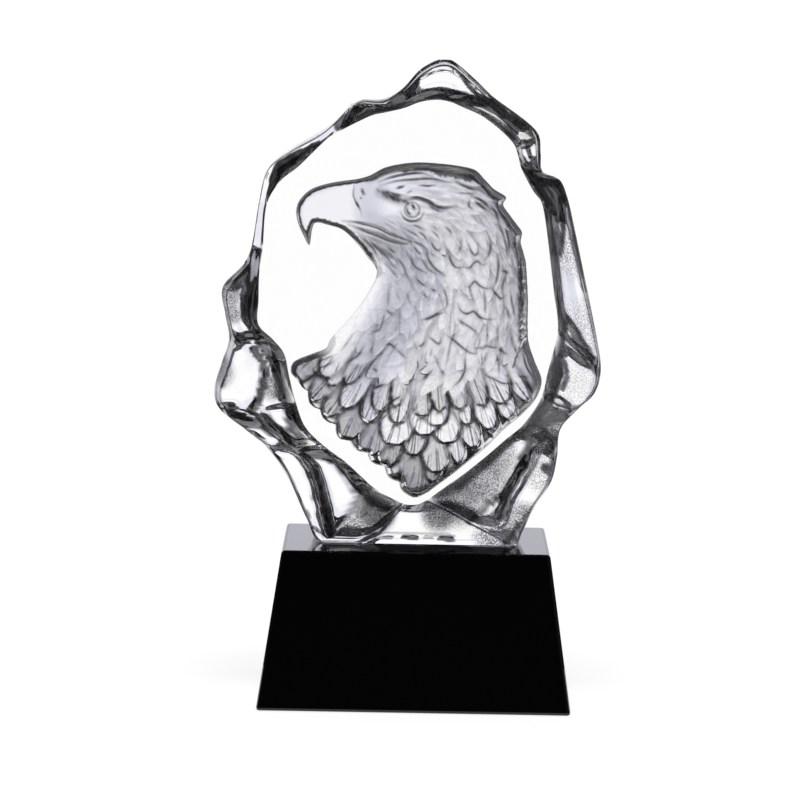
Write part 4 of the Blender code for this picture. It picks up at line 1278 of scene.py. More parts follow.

# The lines of the head, whose darkness is painted shade: brow and lids, eye, crown, beak, mouth, throat and
# ear
HEAD = (
    *(Mark(*row) for row in (
        (((-7.9, 74.3), (-4.3, 73.0), (-0.5, 72.6), (3.5, 71.8), (7.5, 70.8)), 0.9, 0.7),
        (((-6.5, 72.6), (-4.4, 71.8), (-1.6, 70.9)), 0.90, -0.9, 0.66),
        (((-1.5, 70.9), (1.2, 71.5), (3.6, 70.8), (5.3, 69.8), (7.1, 69.6), (9.5, 70.2)), 0.34, -0.5, 0.80),
        (((3.6, 70.1), (5.4, 69.1), (6.8, 68.8)), 0.20, -0.3, 0.60), ((EYE,), 1.5, 0.7),
        (arc(EYE, 2.5, 195, 350), 0.17, -0.3, 0.66), (arc(EYE, 1.6, 0, 360, 16), 0.13, -0.2, 0.42),
        (((0.3, 70.2), (0.8, 69.3)), 0.24, -0.3, 0.92),
        (((-0.9, 69.6), (-0.6, 68.6), (0.1, 67.8)), 0.20, -0.2, 0.80),
        (((-6.8, 74.7), (-4.4, 75.7), (-1.6, 76.4), (1.8, 76.8), (4.3, 76.1)), 0.25, -0.3, 0.70),
        (((-6.5, 74.0), (-3.0, 75.0), (0.5, 75.4), (4.3, 75.6), (7.4, 75.0), (9.5, 74.9)), 0.25, -0.3, 0.68),
        (((9.5, 74.9), (11.2, 74.2), (13.7, 73.5)), 0.25, -0.3, 0.60),
        (((-3.0, 73.6), (-1.3, 74.1)), 0.20, -0.3, 0.66),
        (((1.5, 74.2), (3.6, 74.1), (5.0, 74.3)), 0.20, -0.3, 0.66),
        (((-0.9, 72.5), (0.2, 73.1)), 0.15, -0.2, 0.40), (((9.3, 72.8), (13.3, 72.6)), 0.18, -0.2, 0.40),
        (((-22.8, 66.1), (-22.3, 69.5), (-19.8, 71.6), (-15.2, 72.6)), 0.9, 0.3),
        (((-11.8, 74.3), (-12.0, 71.9), (-11.5, 70.5), (-10.7, 69.1), (-10.2, 67.3)), 0.15, -0.3, 0.50),
        (((-11.5, 70.5), (-10.7, 69.1)), 0.20, -0.3, 0.65),
        (((-10.2, 72.9), (-9.9, 72.2)), 0.28, -0.5, 0.88), (((-10.4, 71.2),), 0.18, -0.3, 0.60),
        (((-14.1, 66.3), (-10.5, 65.9), (-7.0, 65.1), (-4.3, 63.8), (-1.5, 62.8),
         (0.0, 62.3)), 0.24, -0.5, 0.78),
        (((-12.9, 65.6), (-10.2, 64.5), (-7.0, 63.4), (-4.2, 62.3), (-1.1, 61.7),
         (0.0, 62.2)), 0.30, -0.5, 0.76), (((-12.9, 65.0), (-9.8, 63.2), (-6.3, 61.6)), 0.45, -0.2, 0.14),
        (((-3.6, 65.8), (3.7, 64.5), (10.0, 63.0)), 4.6, 0.6),
        (((12.6, 72.1), (14.3, 71.5), (15.7, 70.5), (16.7, 69.3)), 0.26, -0.4, 0.72),
        (((13.3, 71.2), (14.7, 70.1), (16.2, 69.1)), 0.22, -0.3, 0.66),
        (((12.3, 71.5), (12.1, 70.1), (13.1, 69.3)), 0.20, -0.3, 0.55),
    )),
    # painted shade hatched under the brow, on the jaw and along the nape
    *hatching((-7.1, 73.2), (-1.3, 71.2), (0.9, -1.2), 12, 0.6),
    *hatching((-11.0, 63.6), (-4.9, 60.4), (2.8, -3.2), 12, 0.48),
    *hatching((22.2, 64.0), (23.9, 41.5), (1.1, -1.7), 34, 0.66),
    *(Mark(((22.3 + 0.12 * row, 62.4 - 2.1 * row), (23.3 + 0.09 * row, 60.6 - 2.1 * row),
            (24.4 + 0.07 * row, 59.7 - 2.1 * row)), 0.38, -0.20, 0.62 - 0.05 * (row % 3))
      for row in range(10)),
)

# Cuts between the feathers of the cheek and the neck, by their painted shade, and their width and height
CUT = (0.15, -0.25)
CUTS: dict[float, tuple[tuple[Point, ...], ...]] = {
    0.19: (
        ((-2.8, 51.9), (-2.0, 49.8)), ((-11.2, 45.6), (-10.0, 47.7), (-9.6, 49.4)),
        ((-2.0, 43.0), (-1.9, 45.6), (-2.0, 47.7)),
    ),
    0.21: (
        ((-11.9, 43.0), (-11.1, 44.6)), ((-6.7, 43.6), (-6.5, 46.0)), ((-0.1, 41.9), (0.4, 44.0)),
        ((2.1, 38.2), (2.3, 35.6)), ((4.6, 38.2), (5.0, 40.4)), ((5.4, 39.3), (6.6, 36.3), (7.1, 35.2)),
    ),
    0.24: (
        ((-4.2, 53.3), (-4.4, 49.8), (-4.3, 47.9)), ((-0.6, 51.6), (0.1, 49.8), (0.8, 48.9)),
        ((-8.2, 38.2), (-7.5, 40.4), (-7.3, 41.9)), ((-6.0, 38.5), (-5.3, 39.3)),
        ((15.3, 39.3), (15.7, 36.7)),
    ),
    0.27: (
        ((9.7, 46.0), (9.6, 43.6), (8.8, 41.1), (8.3, 38.2), (7.8, 35.9)), ((23.3, 38.2), (22.0, 41.5)),
    ),
    0.28: (
        ((4.7, 65.9), (5.6, 64.9)), ((12.8, 52.3), (13.6, 49.8)), ((14.9, 43.0), (14.7, 40.4)),
        ((20.4, 43.6), (20.8, 45.6)), ((21.9, 40.8), (21.5, 43.6)),
    ),
    0.32: (
        ((16.3, 46.0), (16.5, 43.0), (16.4, 41.1)), ((18.6, 46.0), (18.6, 43.0), (18.4, 40.8)),
        ((18.2, 40.0), (19.0, 37.4), (19.1, 34.5)),
    ),
    0.33: (
        ((0.4, 65.8), (1.6, 65.5), (2.7, 64.9)), ((-1.1, 64.9), (0.6, 64.0), (1.6, 63.3)),
        ((10.6, 63.8), (10.6, 61.7), (9.9, 60.0)), ((19.9, 49.8), (21.2, 46.6)),
    ),
    0.36: (
        ((15.6, 52.3), (15.9, 49.8), (16.0, 47.3)),
    ),
    0.38: (
        ((4.4, 64.9), (5.6, 63.8), (6.1, 63.0)), ((7.0, 65.9), (8.2, 64.9), (8.7, 63.8)),
        ((20.0, 65.9), (20.7, 62.4), (20.7, 59.6)), ((-6.2, 58.2), (-4.2, 56.5), (-2.0, 54.0)),
        ((-7.0, 58.9), (-5.1, 54.7)), ((21.1, 52.6), (21.6, 49.8), (22.3, 46.6)),
        ((-2.5, 39.8), (-1.4, 38.9), (-0.4, 38.0)),
        ((14.3, 40.4), (15.6, 40.4), (16.4, 40.9), (17.8, 40.6), (19.3, 40.6)), ((23.3, 42.2), (24.6, 43.3)),
        ((23.0, 44.0), (24.0, 45.0)), ((22.9, 45.6), (23.6, 46.5)),
    ),
    0.40: (
        ((6.4, 53.7), (7.3, 52.3), (7.9, 50.5), (7.7, 48.9), (6.6, 48.1)),
        ((-8.4, 42.4), (-7.1, 43.2), (-6.0, 43.8), (-5.4, 45.6), (-4.9, 47.7)),
        ((-22.4, 34.9), (-21.5, 35.9), (-20.1, 36.6)), ((-21.9, 33.2), (-20.8, 33.6), (-19.9, 33.2)),
    ),
    0.43: (
        ((17.9, 67.7), (19.1, 64.9), (20.1, 61.7), (20.4, 58.6)), ((16.1, 70.8), (17.6, 69.1), (18.6, 66.6)),
        ((0.4, 62.4), (1.7, 61.9), (2.8, 61.2)), ((-5.7, 60.0), (-3.8, 57.5), (-2.4, 56.1)),
        ((-10.2, 62.4), (-9.2, 60.3), (-7.6, 57.2)), ((-8.3, 61.7), (-6.7, 58.9)),
        ((24.1, 39.3), (24.9, 36.7), (26.3, 34.5)),
    ),
    0.46: (
        ((2.7, 46.0), (4.5, 46.8), (6.4, 47.5), (7.7, 48.0)),
    ),
    0.47: (
        ((1.5, 64.5), (2.7, 63.8), (3.5, 62.6)),
        ((11.7, 63.1), (12.6, 61.0), (13.4, 59.9), (14.2, 60.5), (14.1, 62.4)),
        ((16.4, 63.8), (16.8, 61.7), (16.4, 60.0), (15.4, 58.6)), ((0.7, 61.4), (1.6, 60.2), (2.7, 59.6)),
        ((2.3, 58.9), (3.8, 56.8), (5.5, 55.6)), ((-4.5, 60.7), (-2.9, 59.6)),
        ((-3.2, 59.3), (-1.4, 57.2), (-0.1, 54.0)), ((2.9, 51.6), (3.9, 50.5)), ((12.5, 53.7), (12.8, 51.9)),
        ((20.1, 56.1), (19.4, 53.3), (19.7, 51.2)), ((10.5, 46.4), (11.5, 45.3)),
        ((10.8, 46.0), (13.1, 44.6), (14.5, 43.4)), ((23.0, 34.8), (24.9, 34.4), (25.5, 34.5)),
    ),
    0.49: (
        ((18.7, 40.6), (20.0, 39.6), (20.9, 39.3)),
    ),
    0.52: (
        ((-0.1, 59.6), (1.0, 57.2), (3.5, 55.8)), ((-4.7, 47.9), (-4.1, 47.3), (-3.2, 46.8)),
        ((0.0, 33.0), (0.9, 33.5), (1.6, 33.7)),
    ),
    0.55: (
        ((11.1, 57.4), (12.5, 57.2), (13.3, 58.2), (14.2, 58.6), (15.1, 57.9), (15.9, 58.2)),
        ((18.2, 60.3), (18.5, 57.5), (18.1, 54.7), (17.5, 53.0)),
        ((3.4, 60.0), (4.2, 58.2), (5.5, 56.7), (7.6, 55.4)), ((1.3, 54.7), (2.4, 53.7), (3.6, 53.0)),
        ((6.6, 48.1), (4.6, 46.6), (2.9, 46.2)),
        ((-14.1, 38.9), (-13.0, 40.4), (-11.7, 42.4), (-10.8, 43.2)),
        ((1.9, 40.6), (2.8, 40.8), (3.5, 41.7)), ((4.1, 42.8), (5.0, 42.1), (6.4, 41.2), (6.9, 42.6)),
        ((2.9, 33.4), (4.3, 34.8), (5.3, 35.8)), ((-19.4, 35.4), (-18.3, 36.7), (-15.0, 38.2)),
    ),
    0.57: (
        ((4.2, 62.6), (5.0, 61.2), (5.9, 60.7), (6.4, 61.4)), ((19.2, 56.8), (20.1, 56.5), (20.8, 56.3)),
        ((15.4, 36.3), (16.4, 34.8), (18.3, 33.9), (19.8, 33.2), (23.1, 33.1)),
    ),
    0.59: (
        ((8.0, 60.7), (8.4, 58.9), (9.4, 57.4), (10.4, 57.2), (11.1, 57.4)),
        ((11.8, 53.3), (12.6, 53.3), (13.6, 54.4), (14.7, 53.5), (15.9, 53.0), (17.2, 53.1)),
        ((-12.9, 36.5), (-11.8, 37.1), (-10.4, 38.2), (-9.3, 40.0)),
        ((12.0, 38.5), (11.9, 35.9), (11.0, 33.7), (9.5, 32.2)),
    ),
    0.60: (
        ((-19.1, 35.0), (-16.9, 35.9), (-15.5, 36.8)),
    ),
    0.62: (
        ((4.7, 52.5), (5.5, 52.2)),
    ),
    0.63: (
        ((10.1, 49.8), (10.8, 48.3), (12.1, 47.6), (13.5, 48.1), (14.7, 47.0), (16.4, 46.5), (17.9, 46.6)),
        ((7.6, 43.3), (9.4, 42.1), (11.2, 40.6), (13.1, 39.4), (14.2, 39.4), (14.2, 40.4)),
        ((-7.2, 35.6), (-6.6, 35.2)),
    ),
    0.65: (
        ((7.1, 35.4), (7.4, 35.1)),
    ),
    0.66: (
        ((17.2, 53.1), (18.3, 51.6), (19.2, 50.9), (19.9, 51.6)), ((-4.9, 40.4), (-3.8, 40.8), (-2.5, 39.8)),
    ),
    0.74: (
        ((-7.2, 31.5), (-5.9, 32.1), (-4.4, 32.6)),
    ),
    0.78: (
        ((-3.7, 28.6), (-2.2, 29.6), (-1.3, 30.1)),
    ),
}
STROKES = (
    Mark(((-19.5, 35.4), (-19.8, 34.9), (-18.9, 33.8), (-16.7, 33.4)), 0.22, -0.30, 0.85),
    *(Mark(line, *CUT, dark) for dark, lines in CUTS.items() for line in lines),
)


@dataclass
class Carving:
    """The eagle, cut into the flat back of the block."""

    unit: float
    depth: float = 10.5 * MILLIMETRE
    wall_reach: float = 7.5 * MILLIMETRE
    beak_share: float = 0.45
    fade_width: float = 30 * MILLIMETRE
    raster_step: float = 1.0 * MILLIMETRE
    raster_rounds: int = 60
    raster_margin: float = 0.8
    raster_border: int = 3
    spread_rounds: int = 6
    outline_steps: int = 12
    coarse_steps: int = 2
    throat_steps: int = 6
    mark_steps: int = 5
    least_edge: float = 0.02 * MILLIMETRE
    soft_reaches: float = 3.0
    form_blend: float = 1.6
    head_from: float = -13.0
    head_blend: float = 9.0
    relief_margin: float = 2.5 * MILLIMETRE
    etched_from: float = 30.0
    etched_blend: float = 8.0
    etched_droop: float = 0.25
    chest_etching: float = 0.60
    tufts: int = 24
    tufts_from: float = 36.0
    tuft_lengths: tuple[float, float] = (0.9, 2.6)
    tuft_sizes: tuple[float, float] = (0.02, 0.12)
    tuft_way: Point = (1.0, -0.4)
    tuft_middle: float = 0.6
    nape_side: Point = (14, 4)
    nape_foot: Point = (38, 6)
    chest_side: Point = (2, -4)
    chest_top: Point = (33, -3)
    swag_length: float = 6.4
    swag_way: Point = (0.7, 0.7)
    least_left: float = 0.03
    left_blend: float = 0.10
    throat_from: float = 0.04
    throat_blend: float = 0.17
    faintest: float = 0.26
    grain: float = 0.14
    raggedness: float = 0.18
    rag_size: float = 0.9 * MILLIMETRE
    edge_spread: float = 1.15
    edge_crispness: float = 4.0
    soft_reach: float = 3.2
    stroke_shadow_share: float = 0.30
    taper_share: float = 0.35
    taper_least: float = 0.25
    tuft_seed: int = 5
    fading_throat: tuple[Point, ...] = ((-7.4, 55.0), (-9.6, 50.0), (-12.6, 45.6), (-16.6, 41.0))
    bulge: np.ndarray = field(init=False)
    corner: np.ndarray = field(init=False)
    loop: np.ndarray = field(init=False)

    def __post_init__(self) -> None:
        """Swell the outline into a full form, like a cushion, and keep how full each part is."""
        step = self.raster_step
        self.loop = self.ruffled(along(np.array(EAGLE) * self.unit, self.outline_steps, closed=True))
        coarse = along(np.array(EAGLE) * self.unit, self.coarse_steps, closed=True)
        self.corner = coarse.min(axis=0) - self.raster_border * step
        far = coarse.max(axis=0) + self.raster_border * step
        shape = np.ceil((far - self.corner) / step).astype(int) + 1
        grid = np.stack(np.meshgrid(*map(np.arange, shape), indexing="ij"), axis=-1)
        places = self.corner + grid.reshape(-1, 2) * step
        inside = is_inside(places, coarse).reshape(shape)
        swelling = np.zeros(shape)
        for _ in range(self.raster_rounds + shape[0] * shape[1] // 4):
            swelling[1:-1, 1:-1] = (swelling[2:, 1:-1] + swelling[:-2, 1:-1] + swelling[1:-1, 2:]
                                    + swelling[1:-1, :-2] + step * step) / 4
            swelling[~inside] = 0
        edge = distance_to_line(places, coarse, closed=True).reshape(shape)
        known = inside & (edge > self.raster_margin * step)
        fullness = np.where(known, 2 * swelling / np.maximum(edge, step / 2), 0)
        weight = known.astype(float)
        for _ in range(self.spread_rounds):
            fullness, weight = self.spread(fullness * weight), self.spread(weight)
            fullness = fullness / np.maximum(weight, TINY)
            weight = np.minimum(weight * 9, 1)
        self.bulge = fullness

    def ruffled(self, loop: np.ndarray) -> np.ndarray:
        """Let small tufts stand out of the outline at the nape, and the chest's feathers at its foot.

        Args:
            loop: The smooth outline.

        Returns:
            The outline with its tufts.
        """
        x, z = (loop / self.unit).T
        chance = np.random.default_rng(self.tuft_seed)
        starts = self.tufts_from + np.cumsum(chance.uniform(*self.tuft_lengths, self.tufts))
        sizes = chance.uniform(*self.tuft_sizes, self.tufts)
        tuft = np.clip(np.searchsorted(starts, z) - 1, 0, self.tufts - 2)
        share = np.clip((z - starts[tuft]) / (starts[tuft + 1] - starts[tuft]), 0, 1)
        nape = smooth_step(x, *self.nape_side) * smooth_step(z, *self.nape_foot)
        tufted = (nape * sizes[tuft] * (self.tuft_middle - share))[:, None] * self.tuft_way
        chest = smooth_step(x, *self.chest_side) * smooth_step(z, *self.chest_top)
        swags = np.abs(np.sin((x - z) * math.pi / self.swag_length))
        return loop + (tufted + (chest * (1 - swags))[:, None] * self.swag_way) * self.unit

    @staticmethod
    def spread(cells: np.ndarray) -> np.ndarray:
        """Each cell's mean with its neighbours.

        Args:
            cells: A value for each cell.

        Returns:
            The means.
        """
        padded = np.pad(cells, 1)
        total = sum(np.roll(padded, (i, j), axis=(0, 1)) for i in (-1, 0, 1) for j in (-1, 0, 1))
        return total[1:-1, 1:-1] / 9

    def rounded(self, places: np.ndarray, edge: np.ndarray) -> np.ndarray:
        """Height of the full, rounded form over places at a known distance from its edge.

        Args:
            places: The places, one a row.
            edge: How far each is from the outline.

        Returns:
            One height for each place, 0 outside the outline.
        """
        spot = (places - self.corner) / self.raster_step
        low = np.clip(np.floor(spot).astype(int), 0, np.array(self.bulge.shape) - 2)
        fullness = from_cells(self.bulge, low, np.clip(spot - low, 0, 1))
        within = is_inside(places, self.loop) & (edge > self.least_edge)
        return np.where(within, np.sqrt(np.maximum(fullness * edge, 0)), 0)

    def fading(self, places: np.ndarray) -> np.ndarray:
        """How much of the carving is left at each place, since it fades out at the throat.

        Args:
            places: The places, one a row.

        Returns:
            One share for each place.
        """
        throat = along(np.array(self.fading_throat) * self.unit, self.throat_steps)
        away = smooth_step(distance_to_line(places, throat) / self.fade_width)
        return self.least_left + (1 - self.least_left) * away

    def tapering(self, places: np.ndarray, line: np.ndarray) -> np.ndarray:
        """How much of a line is left at each place, since it runs out at both its ends.

        Args:
            places: Places near the line, one a row.
            line: The line's points.

        Returns:
            The share at each place, 1 in the middle of the line.
        """
        long = np.linalg.norm(np.diff(line, axis=0), axis=1).sum()
        if long == 0 or np.allclose(line[0], line[-1]):
            return np.ones(len(places))
        ends = np.stack([np.linalg.norm(places - end, axis=1) for end in (line[0], line[-1])])
        left = smooth_step(ends.min(axis=0) / (self.taper_share * long))
        return self.taper_least + (1 - self.taper_least) * left

    def cut(self, places: np.ndarray, plumage: Plumage) -> tuple[np.ndarray, np.ndarray, np.ndarray]:
        """Cut the eagle.

        Args:
            places: Places on the back, one a row.
            plumage: The feathers that lie on the form.

        Returns:
            The depth under each place, how strongly it is etched, and its painted shade.
        """
        edge = distance_to_line(places, self.loop, closed=True)
        rounded = self.rounded(places, edge)
        head = smooth_step(places[:, 0] / self.unit, self.head_from, self.head_blend)
        share = self.beak_share + (1 - self.beak_share) * head
        depth = self.depth * share * (1 - np.exp(-rounded / (self.wall_reach * share**2)))
        body = smooth_step(rounded / self.depth * self.form_blend)
        relief, shade = plumage.relief(places)
        depth += relief * smooth_step(edge / self.relief_margin)
        grain = 1 + self.grain * (ripples(places, plumage.grain_size, plumage.seed + 1) - 1)
        ragged = ripples(places, self.rag_size, plumage.seed + 2)
        # painted shade: each mark's darkness stands in for the dark that the steep walls of its cut refract
        for mark in HEAD + STROKES + EDGES:
            line = np.array(mark.line) * self.unit
            if len(line) > 2:
                line = along(line, self.mark_steps)
            reach = self.soft_reaches * self.soft_reach * mark.width * self.unit
            close = (places > line.min(axis=0) - reach) & (places < line.max(axis=0) + reach)
            near = np.flatnonzero(close.all(axis=1))
            away = distance_to_line(places[near], line) / (mark.width * self.unit)
            if mark in EDGES:
                spread = self.edge_spread + self.raggedness * ragged[near]
                on_mark = smooth_step((1 - away * spread) * self.edge_crispness)
            else:
                on_mark = bell(away, 1.0) * self.tapering(places[near], line)
            if mark in STROKES:
                # painted shadow: a soft dark halo round each stroke
                soft = bell(away, self.soft_reach) * self.tapering(places[near], line)
                shade[near] = 1 - (1 - shade[near]) * (1 - self.stroke_shadow_share * mark.dark * soft)
            depth[near] += mark.height * MILLIMETRE * on_mark * body[near]
            shade[near] = 1 - (1 - shade[near]) * (1 - mark.dark * on_mark * grain[near])
        fading = self.fading(places)
        depth = np.where(rounded > 0, np.maximum(depth * fading, 0), 0)
        up = (places[:, 1] + self.etched_droop * np.abs(places[:, 0])) / self.unit
        neck = smooth_step(up, self.etched_from, self.etched_blend)
        throat = smooth_step(fading, self.throat_from, self.throat_blend)
        etching = self.chest_etching + (1 - self.chest_etching) * neck * throat
        etching *= smooth_step(fading, self.least_left, self.left_blend)
        return depth, etching, shade * (self.faintest + (1 - self.faintest) * throat)


@dataclass(frozen=True)
class HammeredPatch:
    """A round patch of the rim with a hammered skin, which may carry painted shade."""

    middle: Point
    radius: float
    strength: float = 1.0
    dark: float = 0.0


@dataclass
class CrystalBlock:
    """The clear block with its chiselled rim and the eagle cut into its back."""

    node: str = "crystal"
    foot_front: float = -13 * MILLIMETRE
    facet: float = 0.37 * MILLIMETRE
    drawn_height: float = 99.9
    sharp_angle: float = math.radians(50)
    first_row: float = 0.3
    net_inside: int = 1
    net_near: float = 1e-9
    flat_within: float = 0.001 * MILLIMETRE
    patch_reach: float = 1.6
    # Hammered patches: middle, radius, strength of the skin, and painted shade
    patches: tuple[HammeredPatch, ...] = tuple(HammeredPatch(*row) for row in (
        ((-37.0, 51.0), 2.2, 0.8, 0.15), ((-36.6, 47.0), 1.8, 0.8, 0.15), ((-39.2, 35.0), 2.6, 0.6, 0.20),
        ((-28.2, 32.8), 2.2, 0.7, 0.20), ((-6.2, 6.8), 3.4, 1.0, 0.50), ((-11.2, 3.8), 2.0, 0.8),
        ((7.0, 6.6), 3.0, 1.0, 0.35), ((10.5, 9.5), 4.5, 0.9, 0.24), ((15.5, 14.5), 5.0, 0.9, 0.18),
        ((19.2, 18.5), 3.5, 0.7, 0.12), ((19.2, 2.2), 4.0, 0.9), ((28.6, 25.4), 4.5, 0.9, 0.12),
        ((26.0, 29.0), 2.5, 0.9, 0.12), ((28.6, 14.9), 3.5, 0.6), ((24.5, 5.5), 3.0, 0.8, 0.10),
        ((30.4, 36.5), 2.2, 0.9, 0.30), ((36.0, 34.0), 4.0, 0.35), ((35.5, 45.5), 5.0, 0.45),
        ((30.5, 62.0), 4.0, 0.6), ((34.5, 60.2), 4.0, 0.5),
    ))

    def __post_init__(self) -> None:
        """Take the block's place from its solid."""
        low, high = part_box(self.node)
        self.low, self.high = Vector(low), Vector(high)
        self.unit = (self.high.z - self.low.z) / self.drawn_height
        self.rim = ChiselledRim(self.unit, self.low, self.high, self.foot_front)
        self.carving = Carving(self.unit)
        self.plumage = Plumage(self.unit)

    def lattice(self) -> np.ndarray:
        """Staggered points that fill the carving's outline.

        Returns:
            The points, one a row.
        """
        loop = self.carving.loop
        low, high = loop.min(axis=0), loop.max(axis=0)
        rise = self.facet * math.sqrt(3) / 2
        rows, columns = int((high[1] - low[1]) / rise) + 1, int((high[0] - low[0]) / self.facet) + 2
        points = np.array([(low[0] + (column + 0.5 * (row % 2)) * self.facet,
                            low[1] + (row + self.first_row) * rise)
                           for row in range(rows) for column in range(columns)])
        points = points[is_inside(points, loop)]
        return points[distance_to_line(points, loop, closed=True) > 0.5 * self.facet]

    def build(self) -> bpy.types.Object:
        """Build the block's mesh and dress it.

        Returns:
            The new object.
        """
        rings, rim_shade = self.rim.rings()
        around = len(rings[0])
        points = np.vstack(rings)
        faces = [tuple(range(around))]
        for ring in range(len(rings) - 1):
            here, there = ring * around, (ring + 1) * around
            for column in range(around):
                beside = (column + 1) % around
                faces.append((here + column, there + column, there + beside, here + beside))
        back_points, back_faces, etched, shade = self.back(rings[-1], len(points) - around, len(points))
        mesh = bpy.data.meshes.new("crystal_block")
        mesh.from_pydata(np.vstack((points, back_points)).tolist(), [], faces + back_faces)
        self.turn_out(mesh)
        mesh.transform(Matrix.Translation((0, 0, self.low.z)))
        plain = np.zeros(len(points) - len(rim_shade))
        self.mark_attributes(mesh, around, len(points), etched, np.concatenate((rim_shade, plain, shade)))
        mesh.shade_smooth()
        mesh.set_sharp_from_angle(angle=self.sharp_angle)
        self.keep_flat(mesh, around, len(points))
        mesh.materials.append(Glass().material())
        block = stood("crystal_block", mesh)
        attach(block, "root")
        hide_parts(self.node)
        return block

    def back(self, last_ring: np.ndarray, first: int, extra: int
             ) -> tuple[np.ndarray, list[tuple[int, ...]], np.ndarray, np.ndarray]:
        """Net the back face and sink the carving into it.

        Args:
            last_ring: The edge of the flat back.
            first: Number of that edge's first point.
            extra: Number that the first new point gets.

        Returns:
            The new points, the faces of the back, and how strongly etched each new point is and its
            painted shade.
        """
        border = last_ring[:, (0, 2)]
        loop = self.carving.loop
        flat = np.vstack((border, loop, self.lattice()))
        around = len(border)
        edges = [(i, (i + 1) % around) for i in range(around)]
        edges += [(around + i, around + (i + 1) % len(loop)) for i in range(len(loop))]
        net = delaunay_2d_cdt([Vector(spot) for spot in flat], edges, [list(range(around))],
                              self.net_inside, self.net_near)
        spots = np.array([tuple(spot) for spot in net[0]])
        number, kept = [], []
        for index, source in enumerate(net[3]):
            if source and source[0] < around:
                number.append(first + source[0])
            else:
                number.append(extra + len(kept))
                kept.append(index)
        places = spots[kept]
        depth, etched, shade = self.carving.cut(places, self.plumage)
        points = np.column_stack((places[:, 0], self.high.y - depth, places[:, 1]))
        faces = [tuple(number[corner] for corner in face) for face in net[2]]
        return points, faces, etched, shade

    @staticmethod
    def turn_out(mesh: bpy.types.Mesh) -> None:
        """Turn all faces of a closed mesh the same way, out.

        Args:
            mesh: The mesh, which is changed.
        """
        shape = bmesh.new()
        shape.from_mesh(mesh)
        bmesh.ops.recalc_face_normals(shape, faces=shape.faces[:])
        shape.to_mesh(mesh)
        shape.free()

    def level_faces(self, mesh: bpy.types.Mesh) -> np.ndarray:
        """Whether each face lies in the plane of the flat back.

        Args:
            mesh: The block's mesh.

        Returns:
            True or False for each face.
        """
        deep = read(mesh.vertices, "co", float, 3)[read(mesh.loops, "vertex_index"), 1]
        on_back = deep > self.high.y - self.flat_within
        return np.logical_and.reduceat(on_back, read(mesh.polygons, "loop_start"))

    def mark_attributes(self, mesh: bpy.types.Mesh, around: int, rim_points: int,
                        etched: np.ndarray, shade: np.ndarray) -> None:
        """Say where the block is etched, where its skin is hammered and where it carries painted shade.

        The window and the flat part of the back stay plain right up to their edges.

        Args:
            mesh: The block's mesh, whose first face is the window.
            around: How many points each ring of the rim has.
            rim_points: How many of its points belong to the rim.
            etched: How strongly each later point is etched.
            shade: The painted shade on each point.
        """
        spots = read(mesh.vertices, "co", float, 3)
        drawn = (spots[:, (0, 2)] - (0, self.low.z)) / self.unit
        on_front = spots[:, 1] < self.high.y - self.rim.back_chamfer
        on_front[rim_points:] = False
        skin = np.zeros(len(spots))
        for patch in self.patches:
            away = np.linalg.norm(drawn - patch.middle, axis=1) / patch.radius
            near = smooth_step(self.patch_reach - away)
            skin = np.maximum(skin, patch.strength * near)
            # painted shade: a patch's darkness stands in for the dark that its hammered facets refract
            shade = 1 - (1 - shade) * (1 - patch.dark * on_front * near)
        skin[:around] = 0
        skin[rim_points - around:] = 0
        mesh.attributes.new("skin", "FLOAT", "POINT").data.foreach_set("value", skin)
        marked_faces = ~self.level_faces(mesh)
        marked_faces[0] = False
        marked = np.repeat(marked_faces, read(mesh.polygons, "loop_total"))
        corners = read(mesh.loops, "vertex_index")
        etching = np.concatenate((np.zeros(rim_points), etched))
        for name, values in (("etching", etching), ("shade", shade)):
            attribute = mesh.attributes.new(name, "FLOAT", "CORNER")
            attribute.data.foreach_set("value", values[corners] * marked)

    def keep_flat(self, mesh: bpy.types.Mesh, around: int, rim_points: int) -> None:
        """Keep the polished window and the flat back from being shaded as if they were round.

        Args:
            mesh: The block's mesh.
            around: How many points each ring of the rim has.
            rim_points: How many points belong to the rim.
        """
        sharp = mesh.attributes["sharp_edge"].data
        ends = read(mesh.edges, "vertices", int, 2)
        on_window = (ends < around).all(axis=1)
        on_back = ((ends >= rim_points - around) & (ends < rim_points)).all(axis=1)
        sharp.foreach_set("value", read(sharp, "value", bool) | on_window | on_back)
        mesh.polygons.foreach_set("use_smooth", ~self.level_faces(mesh))


@dataclass
class Pedestal:
    """The black glass base, which keeps its solid."""

    node: str = "base"
    finish: BlackGlass = BlackGlass()

    def build(self) -> bpy.types.Object:
        """Dress the base.

        Returns:
            The base's own object.
        """
        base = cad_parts[self.node]
        base.data.materials.clear()
        base.data.materials.append(self.finish.material())
        return base


@dataclass(frozen=True)
class Card:
    """A pale card or gap of the light tent, by the directions that it covers, in degrees."""

    turn: tuple[float, float]
    rise: tuple[float, float]
    level: float
    soft: float = 4.0

    def mask(self, turn: Wire, rise: Wire) -> Wire:
        """Say where the card is.

        Args:
            turn: The direction's turn in degrees.
            rise: The direction's rise in degrees.

        Returns:
            1 on the card and 0 off it, with a soft edge.
        """
        across = turn.ramp(self.turn[0] - self.soft, self.turn[0])
        across = across * turn.ramp(self.turn[1], self.turn[1] + self.soft, 1.0, 0.0)
        up = rise.ramp(self.rise[0] - self.soft, self.rise[0])
        return across * up * rise.ramp(self.rise[1], self.rise[1] + self.soft, 1.0, 0.0)


